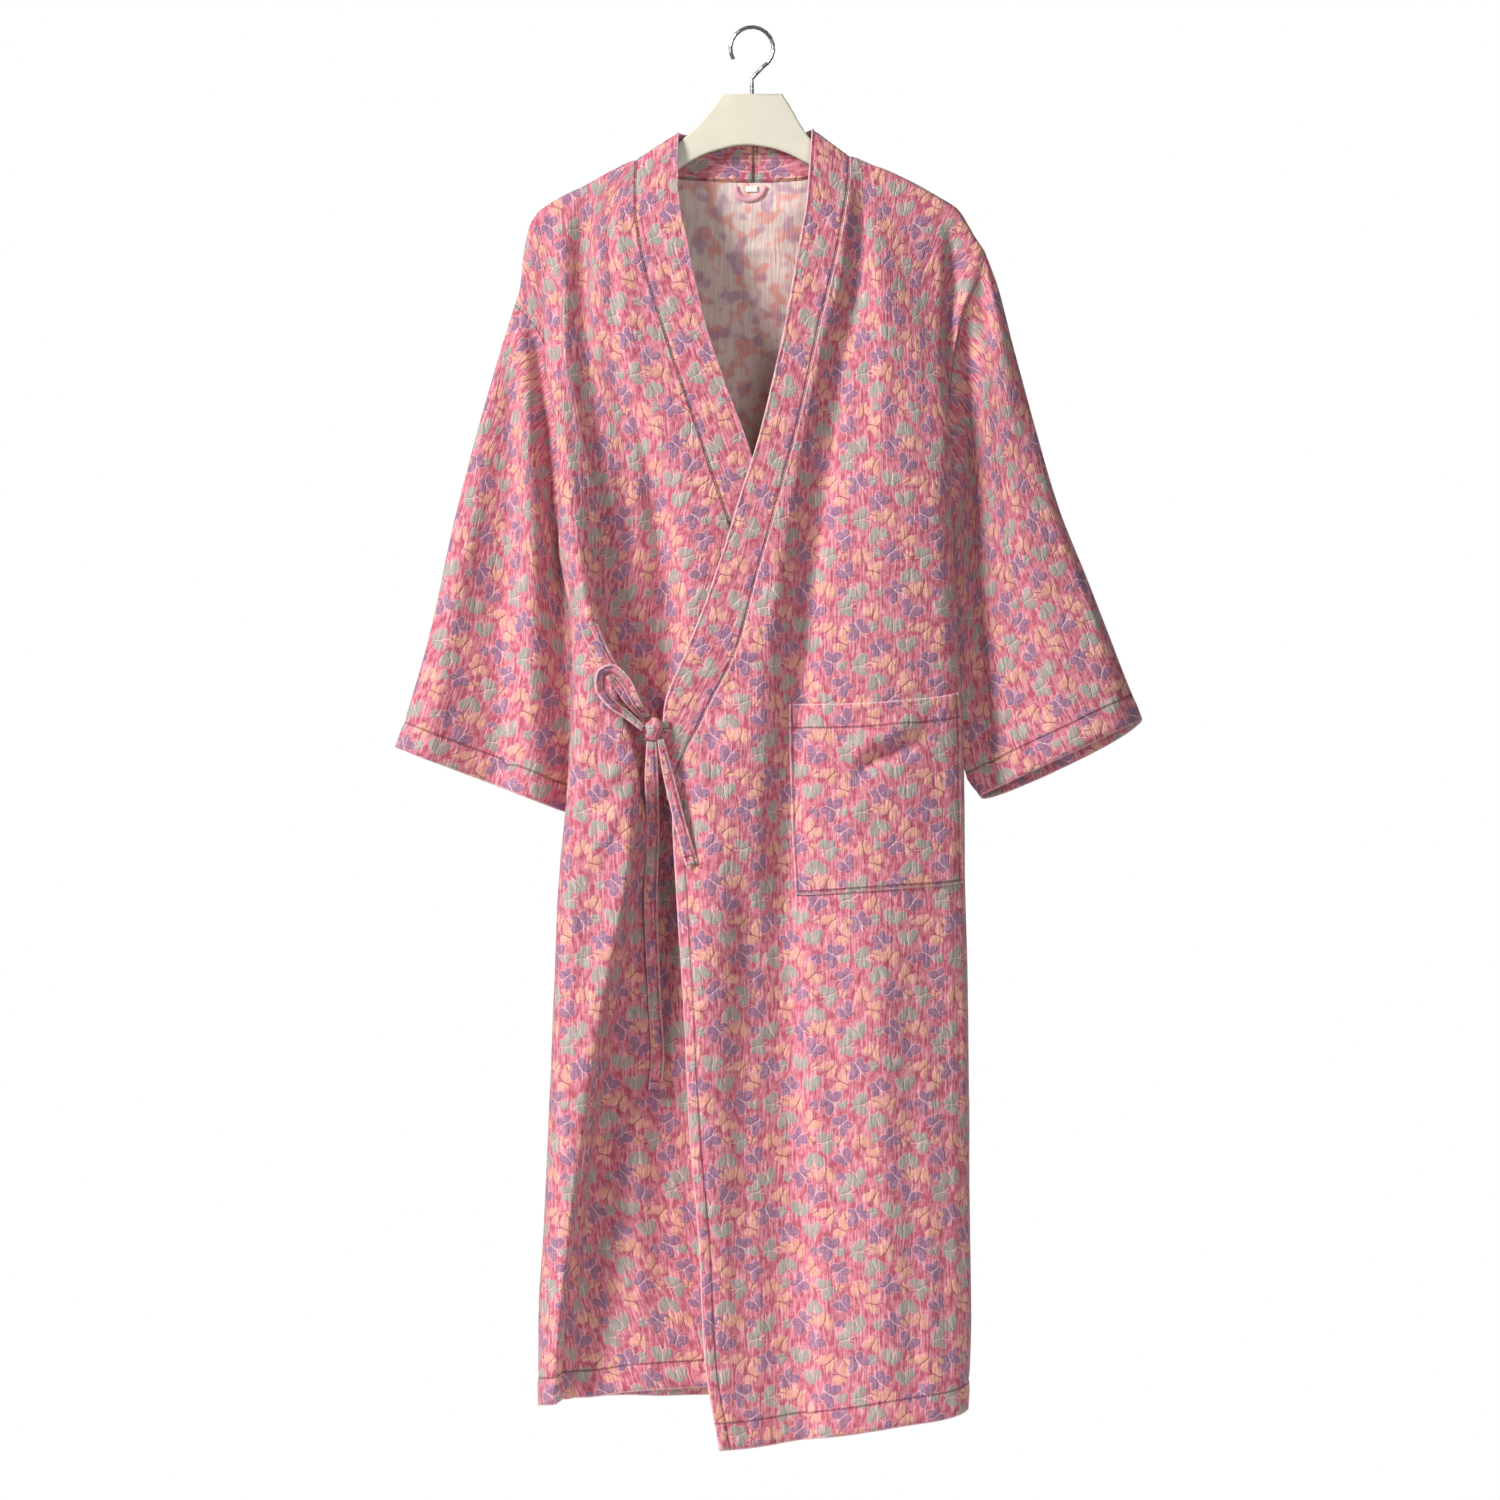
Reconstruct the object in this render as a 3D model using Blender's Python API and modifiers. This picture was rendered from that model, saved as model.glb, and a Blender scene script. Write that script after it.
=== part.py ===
"""A wrap robe of crinkled cotton, hanging on a plain white hanger.

The origin is where a rail bears inside the hanger's hook. +Z is up, the robe's front faces -Y, and the
wearer's left is +X. Tables give sizes in millimetres: x to the wearer's left, y to the back, and drop
downwards from the hook's seat. Left and right are the wearer's own.
"""
import math

import bmesh
import bpy
import numpy as np

MM = 0.001
WALL = 1.6
SEAM_GAP = 0.5
LAYER_GAP = 0.35
SEAM_RUN = 3.0
ARMHOLE_HALF_DEPTH = 12.0
ROUND_EDGE = 0.4
BAND_LIFT = 0.8
BAND_COLUMNS = 3
LEAST_STEP = 1e-3
LEAST_LEVEL_STEP = 3.0
ROBE = "kimono_robe"

# Levels of the body, from the shoulder seam to the hem. Armhole is the share of the armhole passed at the
# side, or None under the arm, where side is the drop there. Centre is the drop at the front edge or the
# neck. Shape is how far a row has left the shoulder's slope for the hanging folds.
LEVEL_COLUMNS = ("name", "armhole", "left_side", "right_side", "left_centre", "right_centre",
                 "neck", "shape", "front", "back", "rows")
LEVELS = [dict(zip(LEVEL_COLUMNS, row)) for row in (
    ("shoulder", 0.00, 0, 0, 118, 122, 141, 0.00, 0.6, 0.6, 1),
    ("roll", 0.008, 0, 0, 119, 123, 147, 0.04, 4.8, 4.8, 1),
    ("arm", 0.06, 0, 0, 124, 128, 153, 0.25, 7.8, 7.8, 1),
    ("yoke", 0.17, 0, 0, 136, 139, 163, 0.65, 11, 11, 1),
    ("upper", 0.33, 0, 0, 163, 165, 182, 1.00, 18, 16, 2),
    ("chest", 0.50, 0, 0, 215, 215, 222, 1.00, 27, 22, 1),
    ("bust", 0.67, 0, 0, 280, 280, 280, 1.00, 34, 27, 1),
    ("rib", 0.84, 0, 0, 355, 355, 350, 1.00, 39, 31, 2),
    ("underarm", 1.00, 0, 0, 440, 440, 440, 1.00, 43, 34, 1),
    ("high_waist", None, 522, 524, 510, 505, 512, 1.00, 45, 36, 1),
    ("waist", None, 566, 568, 570, 560, 565, 1.00, 46, 37, 1),
    ("pocket_top", None, 609, 612, 626, 606, 612, 1.00, 47, 38, 3),
    ("hip", None, 697, 700, 711, 700, 700, 1.00, 48, 39, 3),
    ("pocket_bottom", None, 784, 788, 802, 790, 788, 1.00, 50, 41, 3),
    ("thigh", None, 885, 888, 905, 888, 888, 1.00, 52, 43, 3),
    ("knee", None, 990, 992, 1010, 990, 992, 1.00, 54, 46, 3),
    ("shin", None, 1095, 1098, 1120, 1092, 1098, 1.00, 57, 49, 2),
    ("ankle", None, 1185, 1188, 1222, 1176, 1185, 1.00, 60, 52, 2),
    ("hem", None, 1266, 1269, 1306, 1248, 1264, 1.00, 62, 54, 0),
)]
# Columns between the stations of each panel, and how many stations each side of the back has
OUTER_COLUMNS = (2, 2, 2, 2, 3, 2, 1, 1, 2, 1)
UNDER_COLUMNS = (2, 1, 1, 2, 3, 3, 2, 1, 1, 1, 2, 1)
WING_COLUMNS = (2, 1, 2, 1, 1, 1, 2, 1)
WING_STATIONS = len(WING_COLUMNS)
BACK_COLUMNS = WING_COLUMNS[::-1] + (1,) * 6 + WING_COLUMNS
# Where the stations lie across each panel at the shoulder, as shares of its width
OUTER_SHARES = (0, 0.11, 0.22, 0.34, 0.50, 0.66, 0.80, 0.88, 0.93, 0.97, 1)
UNDER_SHARES = (0, 0.14, 0.28, 0.42, 0.54, 0.62, 0.69, 0.75, 0.81, 0.88, 0.93, 0.97, 1)
WING_SHARES = (0, 0.20, 0.42, 0.63, 0.81, 0.88, 0.93, 0.97, 1)
# How the cloth turns into its side fold: station, how far inside the fold's line it lies, share of the depth
SIDE_TURN = ((-5, 17, 0.98), (-4, 4, 0.82), (-3, 0, 0.45))
# Where the hanging cloth's levels dip towards the side, as a power of the share of the width
LEVEL_DIP = 1.5
ARM_LEVELS = sum(1 for level in LEVELS if level["armhole"] is not None)
ROWS_UNDER_THE_ARM = sum(level["rows"] for level in LEVELS[:ARM_LEVELS - 1])

# Shoulder line of each side, from the neckband's seam to the armhole's top: x, drop
SHOULDER_LEFT = ((90, 118), (99, 122), (127, 132), (150, 143), (168, 153), (185, 163), (194, 172),
                 (202, 187), (214, 205))
SHOULDER_RIGHT = ((-108, 122), (-117, 127), (-131, 132), (-156, 146), (-171, 153), (-185, 161),
                  (-197, 170), (-205, 184), (-210, 208), (-214, 243), (-217, 252))
# Armhole seam of each side, from its top to the underarm: x, drop
ARMHOLE_LEFT = ((214, 205), (206, 234), (194, 258), (187, 290), (181, 325), (177, 365), (174, 410),
                (173, 445), (173, 478))
ARMHOLE_RIGHT = ((-217, 252), (-203, 266), (-190, 286), (-181, 312), (-174, 345), (-169, 390),
                 (-167, 435), (-166, 478))
# Outermost line of the body's side fold: drop, x
FOLD_LEFT = ((160, 181), (170, 178), (223, 175), (282, 176), (325, 179), (389, 182), (435, 183),
             (490, 185), (527, 187), (564, 189), (619, 192), (674, 194), (711, 195), (803, 196),
             (895, 198), (1079, 200), (1171, 201), (1245, 200), (1266, 198))
FOLD_RIGHT = ((180, -207), (215, -200), (247, -196), (293, -191), (325, -188), (362, -180), (417, -178),
              (463, -178), (500, -175), (546, -166), (601, -165), (656, -167), (711, -171), (748, -175),
              (803, -178), (950, -184), (1125, -192), (1217, -197), (1254, -198), (1269, -195))
# How far the side seam lies inside the side fold, where the sleeve hangs against it: drop, inset
SIDE_INSET = ((478, 12), (500, 13), (560, 13), (700, 12), (790, 5), (885, 1), (1300, 1))
# How far the back's own side fold lies inside the front's: drop, inset
BACK_INSET = ((200, 0), (330, 6), (420, 10), (700, 11), (800, 3), (885, 0), (1300, 0))

# Free edge and seam of each front's neckband, then the front edge below it: drop, x
BAND_EDGE_LEFT = ((93, 55), (159, 50), (214, 40.5), (270, 31), (325, 19), (383, 4.6), (417, -6.4),
                  (490, -29), (533, -44), (573, -60), (629, -81), (651, -82), (709, -78))
BAND_SEAM_LEFT = ((118, 90), (138, 90), (172, 85), (205, 79), (260, 66), (322, 52), (383, 39), (437, 24),
                  (490, 9), (542, -5.5), (592, -19), (623, -38), (637, -48), (695, -64), (709, -72),
                  (718, -77), (785, -71), (849, -63.5), (950, -61), (1079, -51.5), (1153, -46),
                  (1245, -42), (1291, -37), (1306, -30))
BAND_EDGE_RIGHT = ((96, -67.5), (127, -68), (152, -67), (168, -65.5), (193, -60), (224, -54),
                   (279, -40.5), (334, -22), (375, -6.5), (394, 0), (450, 17), (520, 40), (600, 62),
                   (660, 78), (709, 84))
BAND_SEAM_RIGHT = ((122, -108), (160, -108.6), (183, -108), (212, -102), (242, -91), (279, -82),
                   (316, -68), (343, -60), (376, -50), (428, -32), (454, -22), (500, -5), (560, 19),
                   (640, 50), (695, 72), (709, 78), (718, 84), (850, 78), (1000, 66), (1250, 42))
# Back neck seam: x, drop, y
BACK_NECK = ((-108, 122, 0.6), (-104.5, 124, 7.2), (-60, 139.5, 12), (3, 141.5, 13), (46, 139.5, 12),
             (86.5, 120, 7.2), (90, 118, 0.6))
NECK_CENTRE = 3
# How far down the back the neck's curve still bends the levels
NECK_CURVE_FADE = 60.0
CENTRE_SEAM_GAP = 0.25
# Free edge of the neckband along the back, one point for each of the back neck's: x, drop, y
BACK_BAND_EDGE = ((-67.5, 96, 0), (-66, 96.5, 6.8), (-40, 99, 11), (3, 100, 12), (32, 98, 11),
                  (53.5, 93.5, 6.8), (55, 93, 0))
# How much higher the band's free edge lies than its seam, straight across the band: drop, rise
BAND_RISE = ((118, 25.5), (140, 21), (200, 15), (300, 12), (560, 14), (592, 19), (640, 14), (709, 0))

# The patch pocket lies between these stations of the outer front
POCKET_STATIONS = (3, 7)
# Left edge of the patch pocket, and the line it continues up and down the outer front: drop, x
POCKET_LINE = ((118, 118), (215, 112), (280, 98), (355, 84), (440, 62), (510, 47), (575, 37), (621, 33),
               (710, 36), (798, 41.5), (905, 45), (1100, 44), (1290, 40))
# Folded edge of the flat pleat down the right side of the under front: drop, x
PLEAT_LINE = ((122, -165), (215, -172), (297, -172), (343, -161), (407, -149), (453, -141), (500, -136),
              (555, -134), (601, -128), (640, -112), (680, -104), (744, -106), (785, -112), (820, -120),
              (887, -132), (972, -145), (1057, -157), (1125, -165), (1193, -172), (1269, -176))
# How far the pleat's cloth returns under itself, and how deep it steps back: drop, return, step
PLEAT_DEPTH = ((122, 0, 0), (270, 0, 0), (360, 3, 5), (440, 8, 10), (540, 14, 14), (700, 20, 16),
               (900, 22, 17), (1100, 18, 17), (1200, 12, 15), (1269, 7, 12))

# The pleat's folded edge, its turn behind the edge and its inner line: place beside the edge, share of the
# return, and shares of the step
PLEAT_TURN_OFFSET, PLEAT_TURN_BACK, PLEAT_INNER_OFFSET = 6.0, 1.4, 16.0
PLEAT_FOLD_STEP, PLEAT_TURN_STEP = 0.22, 0.6
# The outer front covers the under front from this drop on, which steps back behind it
COVERED_FROM, COVERED_FADE, COVERED_STEP = 330.0, 120.0, 9.0

# Largest soft folds. Each runs through its points, x and drop, and its height stands out of the cloth
FOLD_COLUMNS = ("name", "path", "width", "height")
# A fold reaches its height over this share of its path, from this share of the height at its ends, and
# it fades over so many rows and columns towards a panel's edges
FOLD_END_SHARE, FOLD_END_HEIGHT, FOLD_FADE_ROWS = 0.2, 0.12, 3
OUTER_FOLDS = [dict(zip(FOLD_COLUMNS, row)) for row in (
    ("shoulder_drape", ((92, 150), (84, 300), (62, 420), (42, 500), (31, 570)), 13, 3.5),
    ("knot_drape", ((38, 480), (28, 560), (19, 640), (10, 720), (3, 830)), 15, 7.0),
    ("knot_hollow", ((-30, 610), (-46, 660), (-58, 720)), 10, -3.0),
    ("inner_flute", ((-12, 760), (-10, 900), (-14, 1100), (-8, 1300)), 14, -4.5),
    ("hem_flute", ((52, 900), (52, 1050), (50, 1200), (50, 1320)), 17, 6.0),
    ("side_flute", ((118, 820), (122, 950), (124, 1120), (126, 1320)), 24, 4.5),
    ("side_hollow", ((158, 820), (160, 950), (162, 1120), (164, 1320)), 18, -3.5),
    ("pocket_hollow", ((146, 640), (112, 655), (90, 676)), 9, -2.5),
    ("armhole_drape", ((160, 180), (158, 260), (150, 340), (140, 430)), 10, 2.5),
)]
UNDER_FOLDS = [dict(zip(FOLD_COLUMNS, row)) for row in (
    ("chest_drape", ((-126, 150), (-122, 250), (-112, 350), (-103, 420), (-92, 560)), 12, 3.5),
    ("waist_hollow", ((-84, 380), (-76, 470), (-62, 560)), 11, -2.5),
    ("skirt_hollow", ((-90, 760), (-84, 900), (-92, 1100), (-98, 1290)), 14, -3.0),
    ("skirt_flute", ((-66, 900), (-70, 1050), (-74, 1290)), 12, 2.0),
)]
BACK_FOLDS = [dict(zip(FOLD_COLUMNS, row)) for row in (
    ("yoke_flute_right", ((-96, 150), (-100, 400), (-110, 800), (-118, 1280)), 22, 5.5),
    ("spine_hollow", ((-38, 260), (-42, 500), (-46, 900), (-50, 1280)), 24, -4.5),
    ("spine_flute", ((14, 300), (16, 600), (18, 900), (18, 1280)), 22, 5.0),
    ("yoke_flute_left", ((88, 150), (90, 400), (98, 800), (106, 1280)), 22, 5.5),
    ("side_hollow_left", ((150, 420), (156, 700), (160, 1280)), 18, -4.0),
    ("side_hollow_right", ((-146, 420), (-148, 700), (-160, 1280)), 18, -4.0),
)]

# Each sleeve, from the cap to the cuff. Outer and inner are its edges, depth is half its thickness, back is
# how far its middle lies behind the body's, and tilt is how much lower its back layer hangs
SLEEVE_COLUMNS = ("name", "outer_x", "outer_drop", "inner_x", "inner_drop", "depth", "back", "tilt", "rows")
# The first rings of a sleeve, from the armhole's seam: gap in the depth of the side fold, how far out the
# ring lies there, at the top and under the arm, and how far it has fallen at both ends
ARMHOLE_RINGS = ((0.9, 0.4, 0.4, 2.4, 1.0), (3.0, 0.9, 1.8, 3.6, 5.0))
ARMHOLE_ROWS = (1, 2)
LEAST_RING_STEP = 5.0
# The share of the armhole above the underarm where the side fold stops covering the sleeve's seam
UNDERARM_FADE = 0.3
SLEEVE_LEFT = [dict(zip(SLEEVE_COLUMNS, row)) for row in (
    ("crown", 226, 238, 179, 492, 13, 0, 0, 2),
    ("upper", 240, 292, 181, 520, 15, 1, 0, 2),
    ("bicep", 259, 362, 183, 556, 17, 2, 1, 2),
    ("elbow", 283, 444, 186, 598, 19, 3, 2, 2),
    ("forearm", 311, 513, 189, 640, 21, 4, 4, 2),
    ("above_hem", 340, 588, 197, 684, 23, 4, 7, 1),
    ("cuff", 359, 637, 211, 707, 24, 4, 11, 0),
)]
SLEEVE_RIGHT = [dict(zip(SLEEVE_COLUMNS, row)) for row in (
    ("crown", -226, 279, -171, 492, 13, 0, 0, 2),
    ("upper", -241, 330, -168, 518, 15, 1, 0, 2),
    ("bicep", -256, 384, -163, 548, 17, 2, 0, 2),
    ("elbow", -275, 460, -160, 585, 19, 3, 0, 2),
    ("forearm", -294, 550, -161, 630, 21, 4, 0, 2),
    ("above_hem", -316, 628, -166, 688, 23, 4, -1, 1),
    ("cuff", -328, 663, -173, 722, 23, 4, -2, 0),
)]

# The ties are flat strips. Each point: x, drop, how far the strip's middle stands before the cloth under
# it, and the strip's width there. Tilt turns the strip's width towards the viewer, in degrees
TIE_WALL = 1.8
STRIP_ROWS = 12
# How far around a place the cloth under a tie is looked at
REACH_ACROSS, REACH_DOWN = 14.0, 24.0
TIES = {
    "tie_side": (0, ((-149, 553, 2.3, 17), (-141, 571, 3, 16), (-127, 595, 4, 14), (-111, 619, 4.5, 12),
                     (-97.5, 636.5, 5, 6))),
    "tie_front": (0, ((-77, 642, 2.3, 12), (-80, 643, 4.5, 10), (-82, 644, 6, 7))),
    "bow_loop": (32, ((-96, 634.8, 12, 6), (-105, 622, 12, 9), (-118, 599, 12, 11), (-129, 591, 12.5, 11),
                      (-138, 596, 12.5, 11), (-139, 606, 12, 11), (-129, 622, 11.5, 10),
                      (-113, 634, 11.5, 8), (-99.2, 646, 12, 5))),
    "tie_tail_long": (0, ((-92, 657.3, 8, 9), (-92, 690, 6, 12.5), (-91, 740, 6, 11), (-93, 800, 7, 12.5),
                          (-90, 890, 7, 12), (-87, 950, 7, 12.5), (-89, 978, 7, 12.5))),
    "tie_tail_short": (0, ((-83.9, 655.6, 9.6, 6), (-76, 690, 8.5, 10), (-65, 735, 5, 11),
                           (-55, 770, 4, 12))),
}
KNOT_CENTRE = (-90, 646, 8.5)
KNOT_SIZE = (15, 11, 22)
KNOT_TILT = 12.0
KNOT_SIDES, KNOT_ROWS = 14, 9

# The bare label and the hanging loop inside the back neck: x, drop
LABEL_WIDTH, LABEL_HEIGHT, LABEL_WALL = 11.0, 5.5, 0.6
LABEL_CENTRE = (0, 147)
LOOP_PATH = ((-15.5, 144.5), (-13, 152), (-4, 157), (6, 154.5), (13, 144.5))
LOOP_WIDTH = 5.0
NECK_TRIM_GAP = 1.9

PLATE_HALF = 4.5
HANGER_OUTLINE = ((-28, 60), (28, 60), (38, 76), (46, 90), (54, 101), (72, 114), (99, 128.5), (127, 138.5),
                  (150, 149), (166, 160), (175, 169), (177, 180), (170, 187), (150, 181), (110, 160),
                  (68, 134), (51, 124), (28, 113), (9, 108.5), (-10, 107.5), (-28, 111), (-48, 118),
                  (-68, 130), (-110, 155), (-150, 178), (-172, 191), (-183, 188), (-187, 178), (-180, 168),
                  (-168, 159.5), (-154, 152.5), (-130, 139.5), (-108, 130), (-86, 117.5), (-66, 103.5),
                  (-51, 90), (-38, 75))
HOOK_WIRE_RADIUS = 1.8
HOOK_BEND_RADIUS = 18.0
# Straight stretch under the bend, the gap to the plate, and the bend's start, end and step in degrees
HOOK_NECK, HOOK_GAP = 8.0, 0.3
HOOK_START, HOOK_END, HOOK_STEP = -60, 211, 18

COLOURS = {"cloth": (0.62, 0.20, 0.27, 1), "band": (0.66, 0.23, 0.30, 1), "tie": (0.66, 0.24, 0.31, 1),
           "loop": (0.72, 0.36, 0.46, 1), "label": (0.88, 0.87, 0.84, 1), "hanger": (0.86, 0.83, 0.72, 1),
           "hook": (0.60, 0.60, 0.60, 1)}
ROUGHNESS = {"hanger": 0.4, "hook": 0.25}


def slopes_through(at, values):
    """Slopes of a smooth curve through the rows of values, which never swings past them."""
    steps = np.diff(at)[:, None]
    rises = np.diff(values, axis=0) / steps
    slopes = np.zeros_like(values)
    slopes[0], slopes[-1] = rises[0], rises[-1]
    before, after = rises[:-1], rises[1:]
    same_way = before * after > 0
    weight_before = 2 * steps[1:] + steps[:-1]
    weight_after = steps[1:] + 2 * steps[:-1]
    safe_before = np.where(same_way, before, 1)
    safe_after = np.where(same_way, after, 1)
    mean = (weight_before + weight_after) / (weight_before / safe_before + weight_after / safe_after)
    slopes[1:-1] = np.where(same_way, mean, 0)
    return slopes


def curve_through(at, values, wanted):
    """The smooth curve through rows of values, read at the wanted places along it."""
    at = np.asarray(at, float)
    values = np.asarray(values, float)
    slopes = slopes_through(at, values)
    wanted = np.clip(np.asarray(wanted, float), at[0], at[-1])
    span = np.clip(np.searchsorted(at, wanted, side="right") - 1, 0, len(at) - 2)
    length = (at[span + 1] - at[span])[:, None]
    share = ((wanted - at[span])[:, None]) / length
    start, end = values[span], values[span + 1]
    rise = share * share * (3 - 2 * share)
    leave = share * (1 - share) ** 2
    arrive = share * share * (share - 1)
    return start + (end - start) * rise + length * (slopes[span] * leave + slopes[span + 1] * arrive)


def read_line(line, wanted):
    """A table whose first column orders it, read at one place."""
    table = np.array(line, float)
    row = curve_through(table[:, 0], table[:, 1:], [wanted])[0]
    return row[0] if len(row) == 1 else row


def along(points):
    """Distance passed at each point of a path."""
    steps = np.linalg.norm(np.diff(points, axis=0), axis=1)
    return np.concatenate([[0], np.cumsum(np.maximum(steps, LEAST_STEP))])


def share_of_path(points, share):
    """The point at a share of a path's length."""
    points = np.array(points, float)
    passed = along(points)
    return curve_through(passed, points, [share * passed[-1]])[0]


def armhole_point(side, share, face):
    """A point of an armhole's seam. Face is -1 on the front layer and 1 on the back layer."""
    line = ARMHOLE_LEFT if side == "left" else ARMHOLE_RIGHT
    x, drop = share_of_path(line, share)
    depth = ARMHOLE_HALF_DEPTH * (4 * share * (1 - share)) ** ROUND_EDGE
    return np.array([x, face * max(depth, SEAM_GAP), drop])


def side_point(side, level, face):
    """Where a level ends: on the armhole's seam, or on the side seam below it."""
    if level["armhole"] is not None:
        return armhole_point(side, level["armhole"], face)
    drop = level[side + "_side"]
    inward = -1 if side == "left" else 1
    fold = read_line(FOLD_LEFT if side == "left" else FOLD_RIGHT, drop)
    return np.array([fold + inward * read_line(SIDE_INSET, drop), face * SEAM_GAP, drop])


def side_stations(side, level, face, centre, depth, shares):
    """Points of one level across a side, from its centre end to its side end."""
    shoulder = np.array(SHOULDER_LEFT if side == "left" else SHOULDER_RIGHT, float)
    fold_line = FOLD_LEFT if side == "left" else FOLD_RIGHT
    end = side_point(side, level, face)
    inward = -1 if side == "left" else 1
    shape = level["shape"]
    run = (shoulder[:, 0] - shoulder[0, 0]) / (shoulder[-1, 0] - shoulder[0, 0])
    fall = (shoulder[:, 1] - shoulder[0, 1]) / (shoulder[-1, 1] - shoulder[0, 1])
    slope = np.column_stack([run, fall])
    points = []
    for share in shares:
        sloped = read_line(slope, share)
        hanging = share ** LEVEL_DIP
        drop = centre[2] + (end[2] - centre[2]) * (sloped + (hanging - sloped) * shape)
        x = centre[0] + (end[0] - centre[0]) * share
        points.append([x, face * depth, drop])
    points = np.array(points)
    for station, offset, keep in SIDE_TURN:
        inset = read_line(BACK_INSET, points[station, 2]) if face > 0 else 0
        x = read_line(fold_line, points[station, 2]) + inward * (offset + inset)
        y = end[1] + (face * depth - end[1]) * keep
        points[station, 0] += (x - points[station, 0]) * shape
        points[station, 1] += (y - points[station, 1]) * shape
    points[-1] = end
    run = end + np.array([0, face * min(SEAM_RUN, (depth - abs(end[1])) * 0.25), 0])
    points[-2] += (run - points[-2]) * shape
    return points


def outer_front_net():
    """Levels and stations of the outer front, from its wrapped edge to the left side."""
    pocket = POCKET_STATIONS[0]
    plane_end = pocket + 3
    net = []
    for level in LEVELS:
        drop, depth = level["left_centre"], level["front"]
        centre = np.array([read_line(BAND_SEAM_LEFT, drop), -depth, drop])
        row = side_stations("left", level, -1, centre, depth, OUTER_SHARES)
        line = read_line(POCKET_LINE, row[pocket, 2])
        row[pocket, 0] += (line - row[pocket, 0]) * level["shape"]
        for first, last in ((0, pocket), (pocket, plane_end)):
            inner = np.arange(first + 1, last)
            share = (inner - first) / (last - first)
            row[inner, 0] = row[first, 0] + (row[last, 0] - row[first, 0]) * share
        row[0] = centre
        net.append(row)
    return np.array(net)


def under_front_net():
    """Levels and stations of the under front, from its hidden edge to the right side."""
    inner, turn, fold, beyond, plane_end = range(4, 9)
    net = []
    for level in LEVELS:
        drop, depth, shape = level["right_centre"], level["front"], level["shape"]
        centre = np.array([read_line(BAND_SEAM_RIGHT, drop), -depth, drop])
        row = side_stations("right", level, -1, centre, depth, UNDER_SHARES)
        fold_drop = row[fold, 2]
        pleat = read_line(PLEAT_LINE, fold_drop)
        back, step = read_line(PLEAT_DEPTH, fold_drop)
        turned_x = pleat + PLEAT_TURN_OFFSET - back * PLEAT_TURN_BACK
        places = {fold: (pleat, step * PLEAT_FOLD_STEP), turn: (turned_x, step * PLEAT_TURN_STEP),
                  inner: (pleat + PLEAT_INNER_OFFSET, step), beyond: ((pleat + row[plane_end, 0]) / 2, 0)}
        for station, (x, recess) in places.items():
            row[station, 0] += (x - row[station, 0]) * shape
            row[station, 1] += recess * shape
        covered = min(1, max(0, (drop - COVERED_FROM) / COVERED_FADE))
        for station in range(inner):
            share = station / inner
            row[station, 0] = centre[0] + (row[inner, 0] - centre[0]) * share
            row[station, 1] = -depth + max(step * shape, COVERED_STEP * shape * covered)
        row[inner:fold, 2] += (row[fold, 2] - row[inner:fold, 2]) * shape
        net.append(row)
    return np.array(net)


def back_net():
    """Levels and stations of the back, from the right side across the neck to the left side."""
    neck = np.array(BACK_NECK, float)
    net = []
    for level in LEVELS:
        depth, shape = level["back"], level["shape"]
        wings = []
        for side, place in (("right", 0), ("left", -1)):
            drop = level[side + "_centre"] if level["armhole"] is not None else level["neck"]
            centre = np.array([neck[place, 0], depth, drop])
            wings.append(side_stations(side, level, 1, centre, depth, WING_SHARES))
        middle = []
        for x, seam_drop, seam_y in neck[1:-1]:
            curve_left = max(0, 1 - (level["neck"] - neck[NECK_CENTRE, 1]) / NECK_CURVE_FADE)
            drop = level["neck"] + (seam_drop - neck[NECK_CENTRE, 1]) * curve_left
            middle.append([x, max(depth, seam_y), drop])
        net.append(np.vstack([wings[0][::-1], middle, wings[1]]))
    return np.array(net)


def grid_from(net, columns, finer=1):
    """Points of a panel: rows between its levels and columns between its stations."""
    levels, stations = net.shape[:2]
    steps = np.abs(np.diff(net[:, :, 2].mean(axis=1)))
    places = np.concatenate([[0], np.cumsum(np.maximum(steps, LEAST_LEVEL_STEP))])
    wanted = [places[0]]
    for level in range(levels - 1):
        count = LEVELS[level]["rows"] * finer
        wanted += list(np.linspace(places[level], places[level + 1], count + 1)[1:])
    rows = curve_through(places, net.reshape(levels, -1), wanted).reshape(len(wanted), stations, 3)
    grid = []
    for row in rows:
        passed = along(row)
        across = [0.0]
        for station, count in enumerate(columns):
            across += list(np.linspace(passed[station], passed[station + 1], count * finer + 1)[1:])
        grid.append(curve_through(passed, row, across))
    return np.array(grid)


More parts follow.
